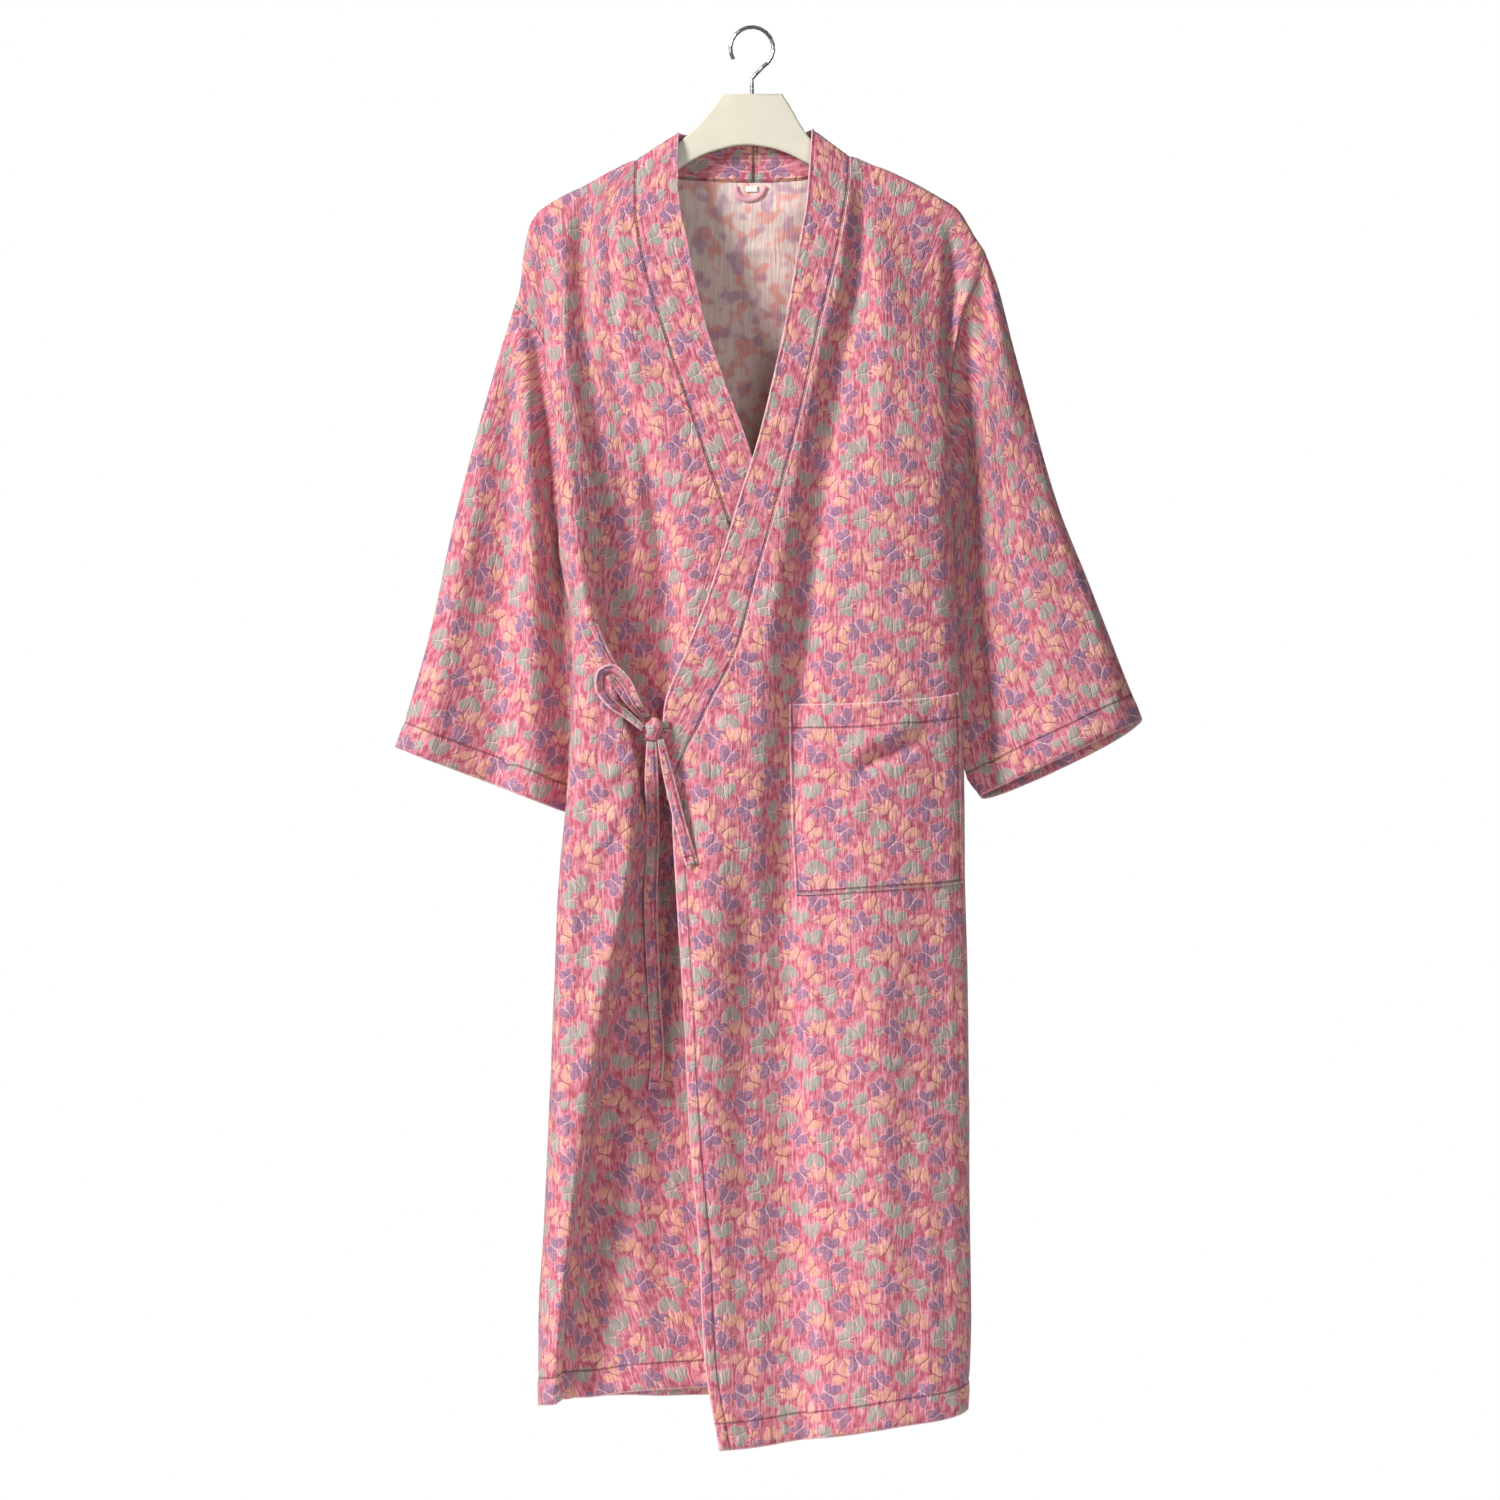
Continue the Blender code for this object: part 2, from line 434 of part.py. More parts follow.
def raise_folds(grid, folds, face, first, last, finer=1):
    """Moves the columns from first to last out of the cloth by the height of each fold."""
    part = grid[:, first:last]
    rise = np.zeros(part.shape[:2])
    for fold in folds:
        path = np.array(fold["path"], float)
        nearest = np.full(rise.shape, np.inf)
        passed = np.zeros(rise.shape)
        start = 0.0
        for begin, end in zip(path[:-1], path[1:]):
            run = end - begin
            offset = part[:, :, (0, 2)] - begin
            share = np.clip((offset @ run) / (run @ run), 0, 1)
            gap = np.linalg.norm(offset - share[..., None] * run, axis=2)
            closer = gap < nearest
            nearest = np.where(closer, gap, nearest)
            passed = np.where(closer, start + share * np.linalg.norm(run), passed)
            start += np.linalg.norm(run)
        from_end = np.minimum(passed / start, 1 - passed / start)
        ends = np.minimum(1, from_end / FOLD_END_SHARE + FOLD_END_HEIGHT)
        rise += fold["height"] * np.exp(-(nearest / fold["width"]) ** 2) * ends
    columns = np.arange(part.shape[1])
    from_side = np.minimum(columns, len(columns) - 1 - columns) / finer
    rise *= np.minimum(1, from_side / FOLD_FADE_ROWS)[None, :]
    rise *= np.minimum(1, np.arange(part.shape[0]) / finer / FOLD_FADE_ROWS)[:, None]
    part[:, :, 1] += face * rise


def armhole_shapes(finer=1):
    """How far each row beside the armhole has left the shoulder's slope."""
    shapes = [LEVELS[0]["shape"]]
    for level, below in zip(LEVELS[:ARM_LEVELS - 1], LEVELS[1:ARM_LEVELS]):
        shapes += list(np.linspace(level["shape"], below["shape"], level["rows"] * finer + 1)[1:])
    return np.array(shapes)


def sleeve_grid(side, front_edge, back_edge, table, finer=1):
    """Rings of a sleeve, from the armhole's seam to the cuff."""
    outward = 1 if side == "left" else -1
    loop = np.vstack([front_edge, back_edge[-2:0:-1]])
    loop[[0, len(front_edge) - 1], 1] = 0
    half = len(front_edge) - 1
    passed = along(loop[:, [0, 2]])
    down = np.where(np.arange(len(loop)) <= half, passed, 2 * passed[half] - passed) / passed[half]
    down = np.clip(down, 0, 1)
    face = np.where(np.arange(len(loop)) <= half, -1.0, 1.0)
    face[[0, half]] = 0
    shapes = armhole_shapes(finer)
    fading = np.clip((1 - down) / UNDERARM_FADE, 0, 1)
    hidden = np.concatenate([shapes, shapes[-2:0:-1]]) * fading
    inward = np.minimum(1, np.abs(loop[:, 1]) / ARMHOLE_HALF_DEPTH) * face
    shown = 1 - hidden
    under = down > 0.5
    rings = []
    for gap, out, top_out, under_out, fall in ARMHOLE_RINGS:
        ring = loop.copy()
        ring[:, 1] -= inward * gap * hidden
        ring[:, 0] += outward * (out * hidden + np.where(under, under_out, top_out) * shown)
        ring[:, 2] += fall * shown
        rings.append(ring)
    for row in table:
        outer = np.array([row["outer_x"], row["outer_drop"]], float)
        inner = np.array([row["inner_x"], row["inner_drop"]], float)
        ring = np.zeros_like(loop)
        middle = outer + (inner - outer) * down[:, None]
        round_off = np.clip(4 * down * (1 - down), 0, 1) ** ROUND_EDGE
        ring[:, 0] = middle[:, 0]
        ring[:, 1] = row["back"] + face * row["depth"] * round_off
        ring[:, 2] = middle[:, 1] + np.clip(face, 0, 1) * row["tilt"] * round_off
        rings.append(ring)
    rings = np.array(rings)
    middles = rings.mean(axis=1)
    steps = np.maximum(np.linalg.norm(np.diff(middles, axis=0), axis=1), LEAST_RING_STEP)
    places = np.concatenate([[0], np.cumsum(steps)])
    counts = [*ARMHOLE_ROWS] + [row["rows"] for row in table[:-1]]
    wanted = [0.0]
    for span, count in enumerate(counts):
        wanted += list(np.linspace(places[span], places[span + 1], count * finer + 1)[1:])
    grid = curve_through(places, rings.reshape(len(rings), -1), wanted)
    return grid.reshape(len(wanted), len(loop), 3)


def band_grid(neck_seam, front_seam, edge_line):
    """Rows of a neckband from the centre of the back, over the shoulder and down the front."""
    neck = np.array(BACK_NECK, float)
    edge = np.array(BACK_BAND_EDGE, float)[:, [0, 2, 1]]
    pairs = [(point, curve_through(neck[:, 0], edge, [point[0]])[0]) for point in neck_seam]
    for point in front_seam:
        drop = point[2] - read_line(BAND_RISE, point[2])
        pairs.append((point, np.array([read_line(edge_line, drop), point[1] - BAND_LIFT, drop])))
    shares = np.linspace(0, 1, BAND_COLUMNS + 1)
    grid = []
    for seam, free in pairs:
        across = free - seam
        start = seam + across / np.linalg.norm(across) * SEAM_GAP
        grid.append([start + (free - start) * share for share in shares])
    return np.array(grid)


def to_metres(points):
    """Points as Blender has them: x to the left, y to the back, z up."""
    points = np.asarray(points, float)
    return np.stack([points[..., 0], points[..., 1], -points[..., 2]], axis=-1) * MM


def material_for(kind):
    """A plain material of one kind's colour."""
    material = bpy.data.materials.get(kind)
    if material is None:
        material = bpy.data.materials.new(kind)
        material.use_nodes = True
        shader = material.node_tree.nodes["Principled BSDF"]
        shader.inputs["Base Color"].default_value = COLOURS[kind]
        shader.inputs["Roughness"].default_value = ROUGHNESS.get(kind, 0.9)
        shader.inputs["Metallic"].default_value = 1.0 if kind == "hook" else 0.0
    return material


def add_object(name, data, kind, collection):
    """An object for one piece, in the robe's collection."""
    piece = bpy.data.objects.new(name, data)
    data.materials.append(material_for(kind))
    collection.objects.link(piece)
    return piece


def sheet_object(name, grid, kind, collection, closed=False, wall=WALL):
    """A cloth wall on a grid of points, which lies in the middle of the wall."""
    rows, columns = grid.shape[:2]
    mesh = bpy.data.meshes.new(name)
    shape = bmesh.new()
    vertices = [shape.verts.new(point) for point in to_metres(grid).reshape(-1, 3)]
    last = columns if closed else columns - 1
    for row in range(rows - 1):
        for column in range(last):
            beside = (column + 1) % columns
            corners = [row * columns + column, (row + 1) * columns + column,
                       (row + 1) * columns + beside, row * columns + beside]
            shape.faces.new([vertices[i] for i in corners])
    bmesh.ops.recalc_face_normals(shape, faces=shape.faces)
    shape.to_mesh(mesh)
    shape.free()
    mesh.shade_smooth()
    piece = add_object(name, mesh, kind, collection)
    solid = piece.modifiers.new("wall", "SOLIDIFY")
    solid.thickness = wall * MM
    solid.offset = 0
    solid.use_rim = True
    return piece


def moved_out(grid, distance, face):
    """A grid's points moved out of the cloth, along its own slope."""
    across = np.gradient(grid, axis=1)
    down = np.gradient(grid, axis=0)
    normal = np.cross(across, down)
    normal /= np.linalg.norm(normal, axis=2, keepdims=True)
    flip = np.sign(normal[:, :, 1:2]) * face
    return grid + normal * flip * distance


def cloth_front(grids, x, drop):
    """The foremost y of the cloth close to a place on the robe's front."""
    points = np.vstack([grid.reshape(-1, 3) for grid in grids])
    near = (np.abs(points[:, 0] - x) < REACH_ACROSS) & (np.abs(points[:, 2] - drop) < REACH_DOWN)
    return points[near, 1].min()


def strip_grid(points, tilt, grids):
    """A flat strip along a path in front of the cloth. Tilt turns its width out of the front plane."""
    path = [(x, cloth_front(grids, x, drop) - before, drop, width) for x, drop, before, width in points]
    path = np.array(path, float)
    passed = along(path[:, :3])
    path = curve_through(passed, path, np.linspace(0, passed[-1], STRIP_ROWS + 1))
    middle, width = path[:, :3], path[:, 3:]
    run = np.gradient(middle, axis=0)
    run /= np.linalg.norm(run, axis=1, keepdims=True)
    across = np.cross(run, np.array([0.0, -1.0, 0.0]))
    across /= np.linalg.norm(across, axis=1, keepdims=True)
    outwards = np.cross(run, across)
    angle = math.radians(tilt)
    half = (across * math.cos(angle) + outwards * math.sin(angle)) * width / 2
    return np.stack([middle - half, middle, middle + half], axis=1)


def knot(collection, grids):
    """The bow's knot, a rounded lump that leans with the strips that leave it."""
    x, drop, before = KNOT_CENTRE
    mesh = bpy.data.meshes.new("bow_knot")
    shape = bmesh.new()
    bmesh.ops.create_uvsphere(shape, u_segments=KNOT_SIDES, v_segments=KNOT_ROWS, radius=0.5)
    for vertex in shape.verts:
        vertex.co = [part * length * MM for part, length in zip(vertex.co, KNOT_SIZE)]
    shape.to_mesh(mesh)
    shape.free()
    mesh.shade_smooth()
    piece = add_object("bow_knot", mesh, "tie", collection)
    piece.location = to_metres((x, cloth_front(grids, x, drop) - before, drop))
    piece.rotation_euler = (0, math.radians(KNOT_TILT), 0)


def neck_label(collection, back_y):
    """The small bare label at the back neck."""
    mesh = bpy.data.meshes.new("neck_label")
    shape = bmesh.new()
    bmesh.ops.create_cube(shape, size=1)
    for vertex in shape.verts:
        sizes = (LABEL_WIDTH, LABEL_WALL, LABEL_HEIGHT)
        vertex.co = [part * length * MM for part, length in zip(vertex.co, sizes)]
    shape.to_mesh(mesh)
    shape.free()
    piece = add_object("neck_label", mesh, "label", collection)
    x, drop = LABEL_CENTRE
    piece.location = to_metres((x, back_y - NECK_TRIM_GAP, drop))


def loop_grid(back_y):
    """The hanging loop: a narrow strip that hangs flat inside the back neck."""
    path = np.array([(x, back_y - NECK_TRIM_GAP, drop) for x, drop in LOOP_PATH], float)
    passed = along(path)
    middle = curve_through(passed, path, np.linspace(0, passed[-1], STRIP_ROWS + 1))
    run = np.gradient(middle, axis=0)
    across = np.cross(run, np.array([0.0, 1.0, 0.0]))
    half = across / np.linalg.norm(across, axis=1, keepdims=True) * LOOP_WIDTH / 2
    return np.stack([middle - half, middle + half], axis=1)


def hanger_plate(collection):
    """The hanger's neck and arms: one flat outline."""
    curve = bpy.data.curves.new("hanger", "CURVE")
    curve.dimensions = "2D"
    curve.fill_mode = "BOTH"
    curve.extrude = PLATE_HALF * MM
    spline = curve.splines.new("POLY")
    spline.points.add(len(HANGER_OUTLINE) - 1)
    for point, (x, drop) in zip(spline.points, HANGER_OUTLINE):
        point.co = (x * MM, -drop * MM, 0, 1)
    spline.use_cyclic_u = True
    piece = add_object("hanger", curve, "hanger", collection)
    piece.rotation_euler = (math.pi / 2, 0, 0)
    return piece


def hanger_hook(collection):
    """The hook: a straight shank that bends out and round the rail."""
    radius = HOOK_BEND_RADIUS + HOOK_WIRE_RADIUS
    centre_drop = HOOK_BEND_RADIUS
    shank_top = centre_drop + radius + HOOK_NECK
    shank_foot = HANGER_OUTLINE[0][1] - HOOK_GAP
    points = [(0.0, shank_foot), (0.0, (shank_top + shank_foot) / 2), (0.0, shank_top)]
    for degrees in range(HOOK_START, HOOK_END, HOOK_STEP):
        angle = math.radians(degrees)
        points.append((radius * math.cos(angle), centre_drop - radius * math.sin(angle)))
    curve = bpy.data.curves.new("hanger_hook", "CURVE")
    curve.dimensions = "3D"
    curve.bevel_depth = HOOK_WIRE_RADIUS * MM
    curve.bevel_resolution = 2
    curve.use_fill_caps = True
    spline = curve.splines.new("POLY")
    spline.points.add(len(points) - 1)
    for point, (x, drop) in zip(spline.points, points):
        point.co = (x * MM, 0, -drop * MM, 1)
    return add_object("hanger_hook", curve, "hook", collection)


def rows_before(name):
    """How many rows of a panel lie above a level."""
    index = [level["name"] for level in LEVELS].index(name)
    return sum(level["rows"] for level in LEVELS[:index])


def main():
    """Builds every piece."""
    for item in list(bpy.data.objects):
        bpy.data.objects.remove(item)
    collection = bpy.data.collections.new(ROBE)
    bpy.context.scene.collection.children.link(collection)

    outer = grid_from(outer_front_net(), OUTER_COLUMNS)
    under = grid_from(under_front_net(), UNDER_COLUMNS)
    back = grid_from(back_net(), BACK_COLUMNS)
    raise_folds(outer, OUTER_FOLDS, -1, 0, sum(OUTER_COLUMNS[:6]) + 1)
    raise_folds(under, UNDER_FOLDS, -1, 0, sum(UNDER_COLUMNS[:8]) + 1)
    raise_folds(back, BACK_FOLDS, 1, sum(BACK_COLUMNS[:3]), back.shape[1] - sum(BACK_COLUMNS[:3]))
    sheet_object("front_left", outer, "cloth", collection)
    sheet_object("front_right", under, "cloth", collection)
    sheet_object("back", back, "cloth", collection)

    arm_rows = ROWS_UNDER_THE_ARM + 1
    for side, front, back_edge, table in (("left", outer, back[:, -1], SLEEVE_LEFT),
                                          ("right", under, back[:, 0], SLEEVE_RIGHT)):
        sleeve = sleeve_grid(side, front[:arm_rows, -1], back_edge[:arm_rows], table)
        sheet_object("sleeve_" + side, sleeve, "cloth", collection, closed=True)

    band_rows = rows_before("hip") + 1
    wing = sum(BACK_COLUMNS[:WING_STATIONS])
    neck_columns = sum(BACK_COLUMNS[WING_STATIONS:-WING_STATIONS])
    centre = wing + neck_columns // 2
    fronts = [outer, under]
    for side, front, neck, edge_line in (
            ("left", outer, back[0, centre:wing + neck_columns], BAND_EDGE_LEFT),
            ("right", under, back[0, centre:wing:-1], BAND_EDGE_RIGHT)):
        neck = neck.copy()
        neck[0, 0] += CENTRE_SEAM_GAP if side == "left" else -CENTRE_SEAM_GAP
        shoulder = front[0, 0] * (1, 0, 1)
        band = band_grid([*neck, shoulder], front[1:band_rows, 0], edge_line)
        sheet_object("collar_" + side, band, "band", collection)
        fronts.append(band)

    first, last = (sum(OUTER_COLUMNS[:station]) for station in POCKET_STATIONS)
    top, bottom = rows_before("pocket_top"), rows_before("pocket_bottom")
    pocket = moved_out(outer, WALL + LAYER_GAP, -1)[top:bottom + 1, first:last + 1]
    sheet_object("pocket", pocket, "cloth", collection)

    for name, (tilt, points) in TIES.items():
        sheet_object(name, strip_grid(points, tilt, fronts), "tie", collection, wall=TIE_WALL)
    knot(collection, fronts)
    back_y = back[0, centre, 1]
    neck_label(collection, back_y)
    sheet_object("hanging_loop", loop_grid(back_y), "loop", collection, wall=LABEL_WALL)
    hanger_plate(collection)
    hanger_hook(collection)


main()
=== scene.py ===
"""The looks of a wrap robe of crinkled cotton, hanging on a plain white hanger.

Tables give sizes in millimetres, as in the robe's construction: x to the wearer's left, y to the back, and
drop downwards from the hook's seat. Left and right are the wearer's own. Every cloth piece is a thin shell
on its panel's own form, with finer creases, crinkles, hems and stitches.
"""
import math

import bmesh
import bpy
import mathutils
import numpy as np
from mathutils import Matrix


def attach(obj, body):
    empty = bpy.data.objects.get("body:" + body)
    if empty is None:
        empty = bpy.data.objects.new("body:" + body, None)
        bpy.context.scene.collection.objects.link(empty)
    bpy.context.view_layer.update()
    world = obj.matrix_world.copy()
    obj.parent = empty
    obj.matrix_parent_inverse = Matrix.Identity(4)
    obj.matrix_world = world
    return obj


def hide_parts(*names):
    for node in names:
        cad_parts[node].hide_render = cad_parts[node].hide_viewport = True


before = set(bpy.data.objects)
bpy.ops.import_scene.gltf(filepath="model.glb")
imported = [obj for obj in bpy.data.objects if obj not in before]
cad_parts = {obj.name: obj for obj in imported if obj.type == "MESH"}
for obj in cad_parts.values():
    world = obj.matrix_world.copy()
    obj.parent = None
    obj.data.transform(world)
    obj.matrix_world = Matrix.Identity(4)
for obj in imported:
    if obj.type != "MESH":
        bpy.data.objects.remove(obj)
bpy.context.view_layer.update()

MM = 0.001
# The plain panels' wall, and the gaps at a seam, at the centre of the neckband and between layers
WALL, SEAM_GAP, CENTRE_SEAM_GAP, LAYER_GAP = 1.6, 0.2, 0.02, 0.35
# How far a panel turns in beside its side seam, at most and as a share of its depth
SEAM_RUN, SEAM_RUN_SHARE = 3.0, 0.25
# Half the armhole's depth, and the power by which its ends and the sleeves' folds are rounded
ARMHOLE_HALF_DEPTH, ROUND_EDGE = 12.0, 0.4
BAND_LIFT, BAND_COLUMNS = 0.8, 3
# The least step between the points of a path and between the levels of a panel
LEAST_STEP, LEAST_LEVEL_STEP = 1e-3, 3.0

# Levels of the body, from the shoulder seam to the hem. Armhole is the share of the armhole passed at the
# side, or None under the arm, where side is the drop there. Centre is the drop at the front edge or the
# neck. Shape is how far a row has left the shoulder's slope for the hanging folds.
LEVEL_COLUMNS = ("name", "armhole", "left_side", "right_side", "left_centre", "right_centre",
                 "neck", "shape", "front", "back", "rows")
LEVELS = [dict(zip(LEVEL_COLUMNS, row)) for row in (
    ("shoulder", 0.00, 0, 0, 118, 122, 141, 0.00, 0.6, 0.6, 1),
    ("roll", 0.008, 0, 0, 119, 123, 147, 0.04, 4.8, 4.8, 1),
    ("arm", 0.06, 0, 0, 124, 128, 153, 0.25, 7.8, 7.8, 1),
    ("yoke", 0.17, 0, 0, 136, 139, 163, 0.65, 11, 11, 1),
    ("upper", 0.33, 0, 0, 163, 165, 182, 1.00, 18, 16, 2),
    ("chest", 0.50, 0, 0, 215, 215, 222, 1.00, 27, 22, 1),
    ("bust", 0.67, 0, 0, 280, 280, 280, 1.00, 34, 27, 1),
    ("rib", 0.84, 0, 0, 355, 355, 350, 1.00, 39, 31, 2),
    ("underarm", 1.00, 0, 0, 440, 440, 440, 1.00, 43, 34, 1),
    ("high_waist", None, 522, 524, 510, 505, 512, 1.00, 45, 36, 1),
    ("waist", None, 566, 568, 570, 560, 565, 1.00, 46, 37, 1),
    ("pocket_top", None, 609, 612, 626, 606, 612, 1.00, 47, 38, 3),
    ("hip", None, 697, 700, 711, 700, 700, 1.00, 48, 39, 3),
    ("pocket_bottom", None, 784, 788, 802, 790, 788, 1.00, 50, 41, 3),
    ("thigh", None, 885, 888, 905, 888, 888, 1.00, 52, 43, 3),
    ("knee", None, 990, 992, 1010, 990, 992, 1.00, 54, 46, 3),
    ("shin", None, 1095, 1098, 1120, 1092, 1098, 1.00, 57, 49, 2),
    ("ankle", None, 1185, 1188, 1222, 1176, 1185, 1.00, 60, 52, 2),
    ("hem", None, 1266, 1269, 1306, 1248, 1264, 1.00, 62, 54, 0),
)]
# Columns between the stations of each panel, and how many stations each side of the back has
OUTER_COLUMNS = (2, 2, 2, 2, 3, 2, 1, 1, 2, 1)
UNDER_COLUMNS = (2, 1, 1, 2, 3, 3, 2, 1, 1, 1, 2, 1)
WING_COLUMNS = (2, 1, 2, 1, 1, 1, 2, 1)
WING_STATIONS = len(WING_COLUMNS)
BACK_COLUMNS = WING_COLUMNS[::-1] + (1,) * 6 + WING_COLUMNS
# Where the stations lie across each panel at the shoulder, as shares of its width
OUTER_SHARES = (0, 0.11, 0.22, 0.34, 0.50, 0.66, 0.80, 0.88, 0.93, 0.97, 1)
UNDER_SHARES = (0, 0.14, 0.28, 0.42, 0.54, 0.62, 0.69, 0.75, 0.81, 0.88, 0.93, 0.97, 1)
WING_SHARES = (0, 0.20, 0.42, 0.63, 0.81, 0.88, 0.93, 0.97, 1)
# How the cloth turns into its side fold: station, how far inside the fold's line it lies, share of the depth
SIDE_TURN = ((-5, 17, 0.98), (-4, 4, 0.82), (-3, 0, 0.45))
# Where the hanging cloth's levels dip towards the side, as a power of the share of the width
LEVEL_DIP = 1.5
ARM_LEVELS = sum(1 for level in LEVELS if level["armhole"] is not None)
ROWS_UNDER_THE_ARM = sum(level["rows"] for level in LEVELS[:ARM_LEVELS - 1])

# Shoulder line of each side, from the neckband's seam to the armhole's top: x, drop
SHOULDER_LEFT = ((90, 118), (99, 122), (127, 132), (150, 143), (168, 153), (185, 163), (194, 172),
                 (202, 187), (214, 205))
SHOULDER_RIGHT = ((-108, 122), (-117, 127), (-131, 132), (-156, 146), (-171, 153), (-185, 161),
                  (-197, 170), (-205, 184), (-210, 208), (-214, 243), (-217, 252))
# Armhole seam of each side, from its top to the underarm: x, drop
ARMHOLE_LEFT = ((214, 205), (206, 234), (194, 258), (187, 290), (181, 325), (177, 365), (174, 410),
                (173, 445), (173, 478))
ARMHOLE_RIGHT = ((-217, 252), (-203, 266), (-190, 286), (-181, 312), (-174, 345), (-169, 390),
                 (-167, 435), (-166, 478))
# Outermost line of the body's side fold: drop, x
FOLD_LEFT = ((160, 181), (170, 178), (223, 175), (282, 176), (325, 179), (389, 182), (435, 183),
             (490, 185), (527, 187), (564, 189), (619, 192), (674, 194), (711, 195), (803, 196),
             (895, 198), (1079, 200), (1171, 201), (1245, 200), (1266, 198))
FOLD_RIGHT = ((180, -207), (215, -200), (247, -196), (293, -191), (325, -188), (362, -180), (417, -178),
              (463, -178), (500, -175), (546, -166), (601, -165), (656, -167), (711, -171), (748, -175),
              (803, -178), (950, -184), (1125, -192), (1217, -197), (1254, -198), (1269, -195))
# How far the side seam lies inside the side fold, where the sleeve hangs against it: drop, inset
SIDE_INSET = ((478, 12), (500, 13), (560, 13), (700, 12), (790, 5), (885, 1), (1300, 1))
# How far the back's own side fold lies inside the front's: drop, inset
BACK_INSET = ((200, 0), (330, 6), (420, 10), (700, 11), (800, 3), (885, 0), (1300, 0))

# Free edge and seam of each front's neckband, then the front edge below it: drop, x
BAND_EDGE_LEFT = ((93, 55), (159, 50), (214, 40.5), (270, 31), (325, 19), (383, 4.6), (417, -6.4),
                  (490, -29), (533, -44), (573, -60), (629, -81), (651, -82), (709, -78))
BAND_SEAM_LEFT = ((118, 90), (138, 90), (172, 85), (205, 79), (260, 66), (322, 52), (383, 39), (437, 24),
                  (490, 9), (542, -5.5), (592, -19), (623, -38), (637, -48), (695, -64), (709, -72),
                  (718, -77), (785, -71), (849, -63.5), (950, -61), (1079, -51.5), (1153, -46),
                  (1245, -42), (1291, -37), (1306, -30))
BAND_EDGE_RIGHT = ((96, -67.5), (127, -68), (152, -67), (168, -65.5), (193, -60), (224, -54),
                   (279, -40.5), (334, -22), (375, -6.5), (394, 0), (450, 17), (520, 40), (600, 62),
                   (660, 78), (709, 84))
BAND_SEAM_RIGHT = ((122, -108), (160, -108.6), (183, -108), (212, -102), (242, -91), (279, -82),
                   (316, -68), (343, -60), (376, -50), (428, -32), (454, -22), (500, -5), (560, 19),
                   (640, 50), (695, 72), (709, 78), (718, 84), (850, 78), (1000, 66), (1250, 42))
# Back neck seam: x, drop, y
BACK_NECK = ((-108, 122, 0.6), (-104.5, 124, 7.2), (-60, 139.5, 12), (3, 141.5, 13), (46, 139.5, 12),
             (86.5, 120, 7.2), (90, 118, 0.6))
NECK_CENTRE = 3
# How far down the back the neck's curve still bends the levels
NECK_CURVE_FADE = 60.0
# Free edge of the neckband along the back, one point for each of the back neck's: x, drop, y
BACK_BAND_EDGE = ((-67.5, 96, 0), (-66, 96.5, 6.8), (-40, 99, 11), (3, 100, 12), (32, 98, 11),
                  (53.5, 93.5, 6.8), (55, 93, 0))
# How much higher the band's free edge lies than its seam, straight across the band: drop, rise
BAND_RISE = ((118, 25.5), (140, 21), (200, 15), (300, 12), (560, 14), (592, 19), (640, 14), (709, 0))

# The stations of the outer front between which the patch pocket lies, and the one up to which it is flat
POCKET_STATIONS, POCKET_PLANE_STATION = (3, 7), 6
# How many stations of each front, and at each side of the back, the soft folds reach or leave out
OUTER_FOLD_STATIONS, UNDER_FOLD_STATIONS, BACK_SIDE_STATIONS = 6, 8, 3
# Left edge of the patch pocket, and the line it continues up and down the outer front: drop, x
POCKET_LINE = ((118, 118), (215, 112), (280, 98), (355, 84), (440, 62), (510, 47), (575, 37), (621, 33),
               (710, 36), (798, 41.5), (905, 45), (1100, 44), (1290, 40))
# Folded edge of the flat pleat down the right side of the under front: drop, x
PLEAT_LINE = ((122, -165), (215, -172), (297, -172), (343, -161), (407, -149), (453, -141), (500, -136),
              (555, -134), (601, -128), (640, -112), (680, -104), (744, -106), (785, -112), (820, -120),
              (887, -132), (972, -145), (1057, -157), (1125, -165), (1193, -172), (1269, -176))
# How far the pleat's cloth returns under itself, and how deep it steps back: drop, return, step
PLEAT_DEPTH = ((122, 0, 0), (270, 0, 0), (360, 3, 5), (440, 8, 10), (540, 14, 14), (700, 20, 16),
               (900, 22, 17), (1100, 18, 17), (1200, 12, 15), (1269, 7, 12))

# The pleat's turn behind its folded edge and its inner line: place beside the edge, share of the return, and
# shares of the step. Its folded edge is a station of the under front
PLEAT_TURN_OFFSET, PLEAT_TURN_BACK, PLEAT_INNER_OFFSET = 6.0, 1.4, 16.0
PLEAT_FOLD_STEP, PLEAT_TURN_STEP = 0.22, 0.6
# The outer front covers the under front from this drop on, which steps back behind it
COVERED_FROM, COVERED_FADE, COVERED_STEP = 330.0, 120.0, 9.0
PLEAT_STATION = 6

# Largest soft folds. Each runs through its points, x and drop, and its height stands out of the cloth
FOLD_COLUMNS = ("name", "path", "width", "height")
